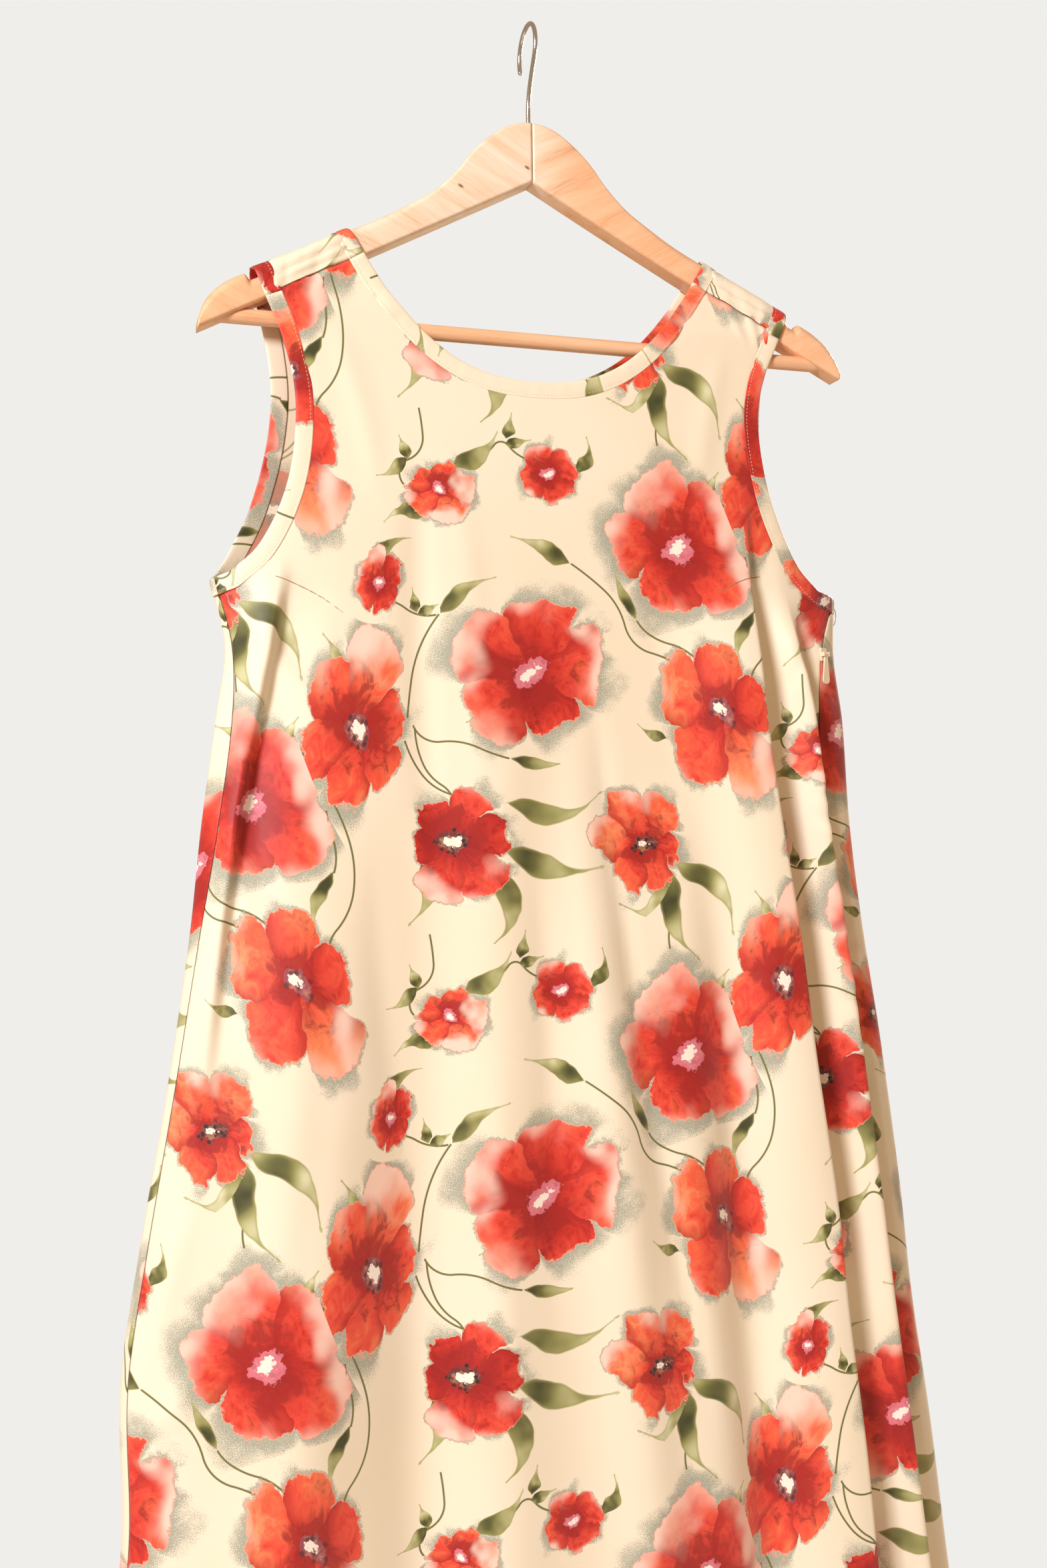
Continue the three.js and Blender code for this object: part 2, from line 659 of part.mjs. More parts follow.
function addPiece(parent, name, geometry, material) {
  const mesh = new THREE.Mesh(geometry, new THREE.MeshStandardMaterial(MATERIALS[material]));
  mesh.name = name;
  parent.add(mesh);
  return mesh;
}

for (const [name, geometry] of dressPieces()) {
  addPiece(part, name, geometry, 'crepe');
}

addPiece(part, 'hanger_arm_left', hangerArm(-1), 'beech');
addPiece(part, 'hanger_arm_right', hangerArm(1), 'beech');
const bar = rod('x', BAR_RADIUS, 2 * BAR_HALF, 20);
addPiece(part, 'hanger_bar', bar, 'beech').position.set(0, BAR_Y, BAR_Z);
addPiece(part, 'hanger_hook', hookGeometry(), 'chrome');

const seat = zipSeat();
const zip = new THREE.Group();
zip.position.copy(seat.point);
zip.rotation.z = seat.turn;
addPiece(zip, 'zip_slider', sliderGeometry(), 'nylon');
addPiece(zip, 'zip_pull', pullGeometry(), 'nylon').position.set(0, PIN_Y, 0);
part.add(zip);

export default part;
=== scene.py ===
"""A sleeveless A-line maxi dress in printed crepe, hung on a contoured beech hanger.

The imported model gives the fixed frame: metres, +Z up, the front of the dress faces -Y. Sizes
below are in millimetres and turned into metres when a mesh is made.
"""

import logging
import math
from collections.abc import Callable, Iterable, Sequence
from dataclasses import dataclass
from enum import Enum
from functools import partial

import bpy
import numpy as np
from bpy.types import Material, Node, NodeSocket, NodeTree, Object
from mathutils import Matrix, Vector


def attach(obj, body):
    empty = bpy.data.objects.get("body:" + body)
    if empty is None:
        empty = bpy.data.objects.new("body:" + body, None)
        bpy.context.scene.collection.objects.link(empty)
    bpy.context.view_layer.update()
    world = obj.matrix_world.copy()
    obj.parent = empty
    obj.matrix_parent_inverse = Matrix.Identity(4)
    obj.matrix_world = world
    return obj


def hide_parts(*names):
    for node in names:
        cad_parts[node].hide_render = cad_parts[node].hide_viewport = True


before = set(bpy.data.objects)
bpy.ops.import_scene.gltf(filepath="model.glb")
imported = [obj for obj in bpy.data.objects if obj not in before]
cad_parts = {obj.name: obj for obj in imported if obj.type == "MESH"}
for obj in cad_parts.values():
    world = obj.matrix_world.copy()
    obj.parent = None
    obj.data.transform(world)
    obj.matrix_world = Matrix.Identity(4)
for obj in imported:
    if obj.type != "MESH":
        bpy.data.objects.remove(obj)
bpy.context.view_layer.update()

log = logging.getLogger("maxi_dress")

Array = np.ndarray
Pair = tuple[float, float]
Triple = tuple[float, float, float]
MM = 0.001
BODY = "dress_and_hanger"


# -------- small helpers


def mix(a: Array | float, b: Array | float, share: Array | float) -> Array | float:
    """Goes from a to b as share goes from 0 to 1."""
    return a + (b - a) * share


def smooth(start: float, end: float, value: Array | float) -> Array | float:
    """Goes smoothly from 0 at start to 1 at end."""
    share = np.clip((value - start) / (end - start), 0, 1)
    return share * share * (3 - 2 * share)


def sampled(keys: Sequence[float], values: Sequence[float], at: Array | float) -> Array:
    """A smooth curve through a table's column, held level beyond both ends.

    Args:
        keys: The table's heights or distances, all rising or all falling.
        values: The column's value at each key.
        at: Where to read the curve.

    Returns:
        The column's values there.
    """
    key = np.asarray(keys, float)
    value = np.asarray(values, float)
    at = np.asarray(at, float)
    slope = np.gradient(value, key) if len(key) > 2 else np.full(2, np.diff(value) / np.diff(key))
    slope[1:-1] = (value[2:] - value[:-2]) / (key[2:] - key[:-2])
    turn = -1 if key[-1] < key[0] else 1
    low = np.clip(np.searchsorted(turn * key, turn * at) - 1, 0, len(key) - 2)
    span = key[low + 1] - key[low]
    t = np.clip((at - key[low]) / span, 0, 1)
    return (
        (2 * t**3 - 3 * t**2 + 1) * value[low]
        + (t**3 - 2 * t**2 + t) * span * slope[low]
        + (3 * t**2 - 2 * t**3) * value[low + 1]
        + (t**3 - t**2) * span * slope[low + 1]
    )


def spread(stops: Sequence[float | Array], counts: Sequence[int]) -> Array:
    """Evenly spread values, count steps from each stop to the next. Stops may be arrays."""
    values = [np.asarray(stops[0], float)]
    for low, high, count in zip(stops, stops[1:], counts):
        values += [mix(low, high, step / count) for step in range(1, count + 1)]
    return np.array(np.broadcast_arrays(*values))


def unit(vectors: Array) -> Array:
    """The vectors at length 1."""
    return vectors / np.maximum(np.linalg.norm(vectors, axis=-1, keepdims=True), 1e-9)


def travelled(points: Array, axis: int = 0) -> Array:
    """The way covered up to each point, going along a line or along one axis of a grid."""
    steps = np.linalg.norm(np.diff(points, axis=axis), axis=-1)
    return np.insert(np.cumsum(steps, axis=axis), 0, 0, axis=axis)


def spaced(points: Array, step: float) -> Array:
    """An open line's points spread again, evenly and about step apart."""
    lengths = travelled(points)
    at = np.linspace(0, lengths[-1], max(3, round(lengths[-1] / step) + 1))
    return np.stack([np.interp(at, lengths, points[:, i]) for i in range(points.shape[1])], axis=1)


def through(points: Sequence[Sequence[float]], step: float) -> Array:
    """A smooth open line through some points, with its points about step apart."""
    given = np.asarray(points, float)
    chord = np.insert(np.cumsum(np.linalg.norm(np.diff(given, axis=0), axis=1) ** 0.5), 0, 0)
    at = np.linspace(0, chord[-1], 40 * len(given))
    dense = np.stack([sampled(chord, given[:, i], at) for i in range(given.shape[1])], axis=1)
    return spaced(dense, step)


# -------- meshes


def placed(name: str, data: bpy.types.ID) -> Object:
    """A new object in the scene, at the origin."""
    obj = bpy.data.objects.new(name, data)
    bpy.context.scene.collection.objects.link(obj)
    return obj


def mesh_object(name: str, points: Array, faces: Iterable[Sequence[int]], uv: Array | None = None) -> Object:
    """Makes a smooth-shaded mesh at the origin.

    Args:
        name: The piece's name.
        points: Its vertices, in millimetres.
        faces: Vertex numbers of each face, anticlockwise seen from outside.
        uv: The cloth's own flat coordinates of each vertex, in metres, kept as the map "cloth".

    Returns:
        The new object, linked to the scene.
    """
    mesh = bpy.data.meshes.new(name)
    mesh.from_pydata((np.asarray(points) * MM).tolist(), [], [list(map(int, f)) for f in faces])
    if uv is not None:
        layer = mesh.uv_layers.new(name="cloth")
        corners = np.empty(len(mesh.loops), np.int32)
        mesh.loops.foreach_get("vertex_index", corners)
        layer.data.foreach_set("uv", np.asarray(uv, np.float32)[corners].ravel())
    mesh.polygons.foreach_set("use_smooth", np.ones(len(mesh.polygons), bool))
    mesh.update()
    return placed(name, mesh)


def grid_faces(rows: int, columns: int, closed: bool = False) -> Array:
    """The four-sided faces of a grid whose columns run to the right and rows run up.

    Args:
        rows: How many rows of vertices.
        columns: How many vertices in a row.
        closed: Whether each row's end joins its start.

    Returns:
        One row of four vertex numbers for each face.
    """
    r, c = np.meshgrid(np.arange(rows - 1), np.arange(columns if closed else columns - 1), indexing="ij")
    r, c = r.ravel(), c.ravel()
    e = (c + 1) % columns
    return np.stack([r * columns + c, r * columns + e, (r + 1) * columns + e, (r + 1) * columns + c], axis=1)


def tube_faces(rings: int, sides: int) -> list[list[int]]:
    """The faces of a closed tube.

    Args:
        rings: How many rings of vertices it has.
        sides: How many vertices a ring has.

    Returns:
        Its walls, and a fan at each end round the two vertices that follow the rings.
    """
    faces = grid_faces(rings, sides, closed=True).tolist()
    first, last = rings * sides, rings * sides + 1
    for i in range(sides):
        after = (i + 1) % sides
        faces.append([first, after, i])
        faces.append([last, (rings - 1) * sides + i, (rings - 1) * sides + after])
    return faces


def baked(obj: Object) -> Object:
    """Turns an object's live modifiers into plain mesh."""
    bpy.context.view_layer.update()
    graph = bpy.context.evaluated_depsgraph_get()
    ready = obj.evaluated_get(graph)
    mesh = bpy.data.meshes.new_from_object(ready, preserve_all_data_layers=True, depsgraph=graph)
    obj.modifiers.clear()
    obj.data = mesh
    mesh.name = obj.name
    return obj


def walled(obj: Object, wall: float, outer: Material, inner: Material) -> Object:
    """Gives a single surface the thickness of cloth, measured inwards.

    Args:
        obj: The surface, whose faces point outwards.
        wall: The cloth's thickness in millimetres.
        outer: The finish of the right side and the raw edges.
        inner: The finish of the wrong side.

    Returns:
        The same object with a closed wall.
    """
    obj.data.materials.append(outer)
    obj.data.materials.append(inner)
    shell = obj.modifiers.new("wall", "SOLIDIFY")
    shell.thickness = wall * MM
    shell.offset = -1
    shell.material_offset = 1
    shell.use_rim = True
    return baked(obj)


def tube(name: str, path: Array, radii: Array | float, sides: int) -> Object:
    """Sweeps a round section along a line and closes both ends with a low dome.

    Args:
        name: The piece's name.
        path: The line's points in millimetres.
        radii: The radius at each point, or one for all.
        sides: How many flats the section has.

    Returns:
        The closed tube.
    """
    radius = np.broadcast_to(np.asarray(radii, float), (len(path),))
    along = unit(np.gradient(path, axis=0))
    side = unit(np.cross(along[0], [1.0, 0.2, 0.1]))
    rings = []
    for point, ahead, r in zip(path, along, radius):
        side = unit(side - ahead * np.dot(side, ahead))
        other = np.cross(ahead, side)
        turn = np.linspace(0, 2 * math.pi, sides, endpoint=False)[:, None]
        rings.append(point + r * (np.cos(turn) * side + np.sin(turn) * other))
    ends = []
    for i, sign in ((0, -1), (-1, 1)):
        outwards = sign * along[i] * radius[i]
        ends.append((path[i] + outwards * 0.45 + (rings[i] - path[i]) * 0.72, path[i] + outwards * 0.62))
    points = np.concatenate([ends[0][0], *rings, ends[1][0], [ends[0][1]], [ends[1][1]]])
    return mesh_object(name, points, tube_faces(len(rings) + 2, sides))


# -------- nodes


def linear(colour: str) -> tuple[float, float, float, float]:
    """Turns an sRGB hex colour such as "#f3e0bd" into linear red, green, blue and alpha."""
    parts = [int(colour[i : i + 2], 16) / 255 for i in (1, 3, 5)]
    return (*(p / 12.92 if p <= 0.04045 else ((p + 0.055) / 1.055) ** 2.4 for p in parts), 1.0)


EASED = {"interpolation_type": "SMOOTHSTEP"}
RGBA = {"data_type": "RGBA"}


def add_node(
    tree: NodeTree, kind: str, inputs: dict[int | str, object] | Sequence[object] = (), **settings: object
) -> Node:
    """Adds a node with its settings and links.

    Args:
        tree: The tree it goes in.
        kind: The node's type name. "Math" and the like stand for their shader node.
        inputs: Values, sockets or nodes for its inputs, in their order or by number or name. A node
            stands for its first output in use, and a hex colour for its linear values.
        **settings: The node's own settings. "stops" fills a colour ramp with its places and colours,
            and "ramp" says how it runs between them.

    Returns:
        The new node.
    """
    node = tree.nodes.new(kind if "Node" in kind else f"ShaderNode{kind}")
    stops = settings.pop("stops", None)
    interpolation = settings.pop("ramp", "LINEAR")
    for name, value in settings.items():
        setattr(node, name, value)
    if stops:
        ramp = node.color_ramp
        ramp.interpolation = interpolation
        while len(ramp.elements) < len(stops):
            ramp.elements.new(1.0)
        for element, stop in zip(ramp.elements, stops):
            element.position = stop[0]
            element.color = linear(stop[1]) if isinstance(stop[1], str) else stop[1]
    for key, value in inputs.items() if isinstance(inputs, dict) else enumerate(inputs):
        if isinstance(value, Node):
            value = next(s for s in value.outputs if s.enabled)
        if isinstance(value, NodeSocket):
            tree.links.new(value, node.inputs[key])
        else:
            node.inputs[key].default_value = linear(value) if isinstance(value, str) else value
    return node


def new_material(name: str) -> tuple[Material, Callable[..., Node]]:
    """An empty material, and add_node for its tree."""
    material = bpy.data.materials.new(name)
    material.use_nodes = True
    material.node_tree.nodes.clear()
    return material, partial(add_node, material.node_tree)


# -------- the dress's form


class Side(Enum):
    """The two sides of the dress."""

    FRONT = "front"
    BACK = "back"


@dataclass(frozen=True)
class Crease:
    """A soft ridge or trough in the cloth, in millimetres.

    A positive height stands out and a negative one is a trough. bend is how far its middle
    bows to the left of its direction, and lean pushes its steep side over: -1 to 1.
    """

    side: Side
    start: Pair
    end: Pair
    width: float
    height: float
    bend: float = 0.0
    lean: float = 0.0

    def relief(self, x: Array, z: Array) -> Array:
        """How far the cloth stands out because of this crease.

        Args:
            x: Places across the cloth.
            z: Their heights.

        Returns:
            The relief there, in millimetres.
        """
        start, end = np.array(self.start), np.array(self.end)
        chord = end - start
        length = np.hypot(*chord)
        ahead = chord / length
        along = ((x - start[0]) * ahead[0] + (z - start[1]) * ahead[1]) / length
        t = np.clip(along, 0, 1)
        off = -(x - start[0]) * ahead[1] + (z - start[1]) * ahead[0] - 4 * self.bend * t * (1 - t)
        width = self.width * (0.65 + 0.35 * np.sin(math.pi * t)) * (1 + self.lean * np.tanh(off / self.width))
        past = np.maximum(np.abs(along - 0.5) - 0.5, 0) * length
        swell = np.sin(math.pi * np.clip(t, 0.02, 0.98)) ** 0.8
        return self.height * swell * np.exp(-((off / width) ** 2) - (past / self.width) ** 2)


@dataclass
class DressForm:
    """The shape in which the dress hangs: one flattened tube whose straps lie over the hanger.

    Columns of sections, by height: half widths on the left and right, how far the front and the
    back stand off the side line, then lines down the front: both side seams, the edge of the
    left fold, the ridge of the right fold and the edge of its flank.
    """

    seam_gap: float = 0.3
    hem_z: float = -1460.0
    underarm_z: float = -383.0
    side_line_y: float = -4.0
    flatness: float = 5.0
    shift: float = -3.0
    neck_half: float = 125.0
    neck_top: float = -152.0
    neck_depth_front: float = 94.0
    neck_depth_back: float = 88.0
    neck_power: float = 2.5
    shoulder_z: float = -151.1
    shoulder_slope: float = 0.523
    shoulder_from: float = 100.0
    shoulder_to: float = 235.0
    flap: float = 23.0
    stand_off: float = 10.7
    bend: float = 10.0
    arm_length: float = 225.0
    arm_forward: float = 12.0
    bar_end: float = 213.0
    bar_stand_off: float = 7.2
    bar_range: Pair = (-206.0, -190.0)
    hang_range: Pair = (-335.0, -235.0)
    hem_turning: float = 24.0
    zip_ruck: float = 0.75
    columns: tuple[str, ...] = (
        "z", "left", "right", "front", "back", "seamL", "foldL", "ridge", "flank", "seamR",
    )
    rows: tuple[tuple[float, ...], ...] = (
        (-383, 217, 224, 20, 17, 214, 176, 145, 178, 221),
        (-425, 208, 223, 21, 18, 204, 184, 148, 184, 207),
        (-470, 214, 229, 22, 19, 205, 193, 151, 193, 205),
        (-540, 224, 233, 24, 21, 215, 207, 160, 201, 206),
        (-610, 232, 241, 27, 24, 227, 217, 170, 211, 217),
        (-700, 246, 255, 30, 28, 242, 228, 180, 222, 228),
        (-800, 264, 268, 33, 31, 260, 243, 193, 234, 240),
        (-880, 276, 276, 35, 33, 272, 255, 200, 243, 249),
        (-970, 276, 289, 37, 35, 272, 256, 210, 254, 260),
        (-1070, 286, 301, 39, 38, 282, 264, 218, 266, 272),
        (-1260, 311, 326, 43, 42, 307, 287, 234, 286, 292),
        (-1460, 335, 350, 46, 46, 331, 309, 250, 305, 311),
    )
    # line, sign, height, rise, drop, trough, from, full, fades, gone
    steep_folds: tuple[tuple[object, ...], ...] = (
        ("foldL", -1, 7.5, 24, 10, 0.35, -365, -420, -560, -760),
        ("ridge", 1, 18, 75, 7.5, 0.42, -300, -460, -1500, -1600),
        ("flank", 1, 13, 20, 5.5, 0.3, -375, -440, -1500, -1600),
    )
    # side, x at the top, x at the hem, from, full, width, height
    soft_folds: tuple[tuple[object, ...], ...] = (
        (Side.FRONT, -146, -205, -430, -860, 32, 11),
        (Side.FRONT, -86, -100, -380, -860, 30, -12),
        (Side.FRONT, -34, -40, -360, -520, 24, 4),
        (Side.FRONT, 10, 96, -440, -800, 26, 10),
        (Side.FRONT, 74, 130, -420, -860, 20, 7),
        (Side.FRONT, 106, 176, -440, -860, 18, -9),
        (Side.BACK, -140, -236, -420, -880, 30, 11),
        (Side.BACK, -92, -158, -520, -1010, 32, -8),
        (Side.BACK, -46, -74, -460, -960, 34, 9),
        (Side.BACK, 12, 18, -600, -1120, 30, -7),
        (Side.BACK, 62, 104, -440, -900, 32, 10),
        (Side.BACK, 112, 178, -500, -980, 28, -8),
        (Side.BACK, 150, 252, -400, -820, 28, 10),
    )
    creases: tuple[Crease, ...] = ()
    # x and z of the right armhole's edge; the left one mirrors it
    armhole_front: tuple[Pair, ...] = (
        (188, -183), (179, -205), (168, -232), (162, -262),
        (164, -298), (172, -330), (188, -362), (206, -379),
    )
    armhole_back: tuple[Pair, ...] = (
        (188, -183), (181, -210), (175, -240), (174, -268),
        (179, -300), (190, -335), (204, -364), (213, -379),
    )

    def column(self, name: str, z: Array | float) -> Array:
        """One column of the sections at some heights."""
        table = np.array(self.rows, float)
        return sampled(table[:, 0], table[:, self.columns.index(name)], z)

    def middle(self, z: Array | float) -> Array:
        """The x of the middle between both edges."""
        return (self.column("right", z) - self.column("left", z)) / 2

    def half(self, z: Array | float) -> Array:
        """Half the width between both edges."""
        return (self.column("right", z) + self.column("left", z)) / 2

    def ring_at(self, x: Array | float, z: Array | float) -> Array:
        """Turns an x on the front into the ring's own coordinate."""
        return np.arcsin(np.clip((x - self.middle(z)) / self.half(z), -1, 1)) / (math.pi / 2)

    def arm_y(self, x: Array | float) -> Array:
        """How far forward the hanger's middle plane runs at a distance from its centre."""
        return -self.arm_forward * (np.minimum(np.abs(x), self.arm_length) / self.arm_length) ** 1.5

    def shoulder(self, x: Array | float) -> Array:
        """The height of the cloth's outer face where a strap lies over the hanger."""
        away = np.clip(np.abs(x), self.shoulder_from, self.shoulder_to)
        return self.shoulder_z - self.shoulder_slope * (away - self.neck_half)

    def seam_z(self, x: Array | float) -> Array:
        """The height of the shoulder seams on the front."""
        return self.shoulder(x) - self.flap

    def steep_relief(self, x: Array, z: Array) -> Array:
        """How far the one-sided folds stand out on the front: a slow rise, a crest, a drop.

        Args:
            x: Places across the front.
            z: Their heights.

        Returns:
            The relief there, in millimetres.
        """
        total = np.zeros(np.broadcast(x, z).shape)
        for line, sign, height, rise, drop, trough, start, full, fades, gone in self.steep_folds:
            away = x - sign * self.column(line, z)
            strength = smooth(start, full, z) * (1 - smooth(fades, gone, z))
            beyond = -trough * (1 - smooth(drop, 4 * drop, away))
            steep = np.where(away < drop, mix(1, -trough, smooth(0, drop, away)), beyond)
            fold = np.where(away < 0, smooth(-rise, 0, away), steep)
            total = total + height * strength * fold
        return total

    def soft_relief(self, side: Side, x: Array, z: Array) -> Array:
        """How far the soft folds stand out on one side.

        Args:
            side: The side.
            x: Places across it.
            z: Their heights.

        Returns:
            The relief there, in millimetres.
        """
        total = np.zeros(np.broadcast(x, z).shape)
        down = (z - self.underarm_z) / (self.hem_z - self.underarm_z)
        for on, top, hem, start, full, width, height in self.soft_folds:
            if on is side:
                away = (x - mix(top, hem, down)) / width
                total = total + height * smooth(start, full, z) * np.exp(-(away**2))
        return total

    def crease_relief(self, side: Side, x: Array, z: Array) -> Array:
        """How far the small creases of one side stand out.

        Args:
            side: The side.
            x: Places across it.
            z: Their heights.

        Returns:
            The relief there, in millimetres.
        """
        total = np.zeros(np.broadcast(x, z).shape)
        for crease in self.creases:
            if crease.side is side:
                total = total + crease.relief(x, z)
        return total

    def pucker(self, x: Array, z: Array) -> Array:
        """The ruck of the cloth beside the zip's seam."""
        away = np.abs(x - self.column("seamR", z))
        run = smooth(-418, -440, z) * (1 - smooth(-650, -730, z))
        wave = np.sin(z / 3.4 + 1.3 * np.sin(z / 17.0)) + 0.6 * np.sin(z / 7.9 + 2.0 + away / 6)
        return self.zip_ruck * run * wave * np.exp(-((away - 5) / 6.5) ** 2)

    def body(self, ring: Array, z: Array) -> Array:
        """Points of the dress's outer face.

        Args:
            ring: -1 at the left edge, 0 at the front's middle, 1 at the right edge, 2 at the
                back's middle and 3 at the left edge again.
            z: Their heights.

        Returns:
            The points, in millimetres.
        """
        ring, z = np.broadcast_arrays(np.asarray(ring, float), np.asarray(z, float))
        across = np.sin(ring * math.pi / 2)
        x = self.middle(z) + self.half(z) * across
        bulge = np.sqrt(np.maximum(0, 1 - np.abs(across) ** self.flatness))
        edge = smooth(0, 0.6, bulge)
        hang = smooth(*self.hang_range, z)
        relief = self.steep_relief(x, z) + self.soft_relief(Side.FRONT, x, z)
        front = self.side_line_y - self.column("front", z) * bulge - relief * edge
        by_seam = self.arm_y(np.maximum(np.abs(x), self.neck_half)) - self.stand_off
        by_bar = np.minimum(by_seam, self.arm_y(self.bar_end) - self.bar_stand_off)
        front = mix(front, mix(by_bar, by_seam, smooth(*self.bar_range, z)), hang)
        front = front - (self.crease_relief(Side.FRONT, x, z) + self.pucker(x, z) * (x > 0)) * edge
        back = self.side_line_y + self.column("back", z) * bulge + self.soft_relief(Side.BACK, x, z) * edge
        back = mix(back, self.arm_y(x) + self.stand_off, hang) + self.crease_relief(Side.BACK, x, z) * edge
        return np.stack([x, np.where(np.cos(ring * math.pi / 2) > 0, front, back), z], axis=-1)

    def strap(self, x: Array, along: Array) -> Array:
        """Points of a strap over the hanger.

        Args:
            x: Places across the strap.
            along: 0 at the back, 1 at the front, and more on down the front.

        Returns:
            The points, in millimetres.
        """
        x, along = np.broadcast_arrays(np.asarray(x, float), np.asarray(along, float))
        turn = math.pi * np.clip(along, 0, 1)
        drop = self.bend * (1 - np.sin(turn) + np.maximum(0, -along) + np.maximum(0, along - 1))
        away = np.abs(x)
        lean = self.arm_y(mix(away, np.maximum(away, self.neck_half), np.clip(along, 0, 1)))
        z = self.shoulder(x) - drop
        crease = self.crease_relief(Side.FRONT, x, z) * smooth(0.45, 0.9, along)
        crease = crease + self.crease_relief(Side.BACK, x, z) * smooth(0.55, 0.1, along)
        out = self.stand_off + crease
        return np.stack([x, lean + out * np.cos(turn), z + crease * np.sin(turn)], axis=-1)

    def upright(self, x: Array, z: Array, side: Side) -> Array:
        """Points of one side of the dress or its straps.

        Args:
            x: Places across.
            z: Their heights.
            side: The side.

        Returns:
            The points, in millimetres.
        """
        top = self.shoulder(x)
        ring = self.ring_at(x, z)
        lift = np.clip(1 - (top - z) / self.bend, 0, 1)
        rise = np.arcsin(lift) / math.pi
        if side is Side.FRONT:
            over = self.strap(x, np.where(top - z > self.bend, (top - z) / self.bend, 1 - rise))
            share = (z > self.seam_z(x))[..., None]
            return np.where(share, over, self.body(ring, z))
        over = self.strap(x, rise)
        return np.where((top - z < self.bend)[..., None], over, self.body(2 - ring, z))


@dataclass(frozen=True)
class Edge:
    """An open edge of the dress: its line, the way out of the cloth, and the way into the panel."""

    points: Array
    outward: Array
    inward: Array

    def offset(self, depth: float | Array, height: float | Array) -> Array:
        """The line moved into the panel and off its face, in millimetres."""
        depth, height = np.asarray(depth, float), np.asarray(height, float)
        return self.points + self.inward * depth[..., None] + self.outward * height[..., None]

    def part(self, keep: Array) -> "Edge":
        """The stretch of the edge where keep is true."""
        return Edge(self.points[keep], self.outward[keep], self.inward[keep])


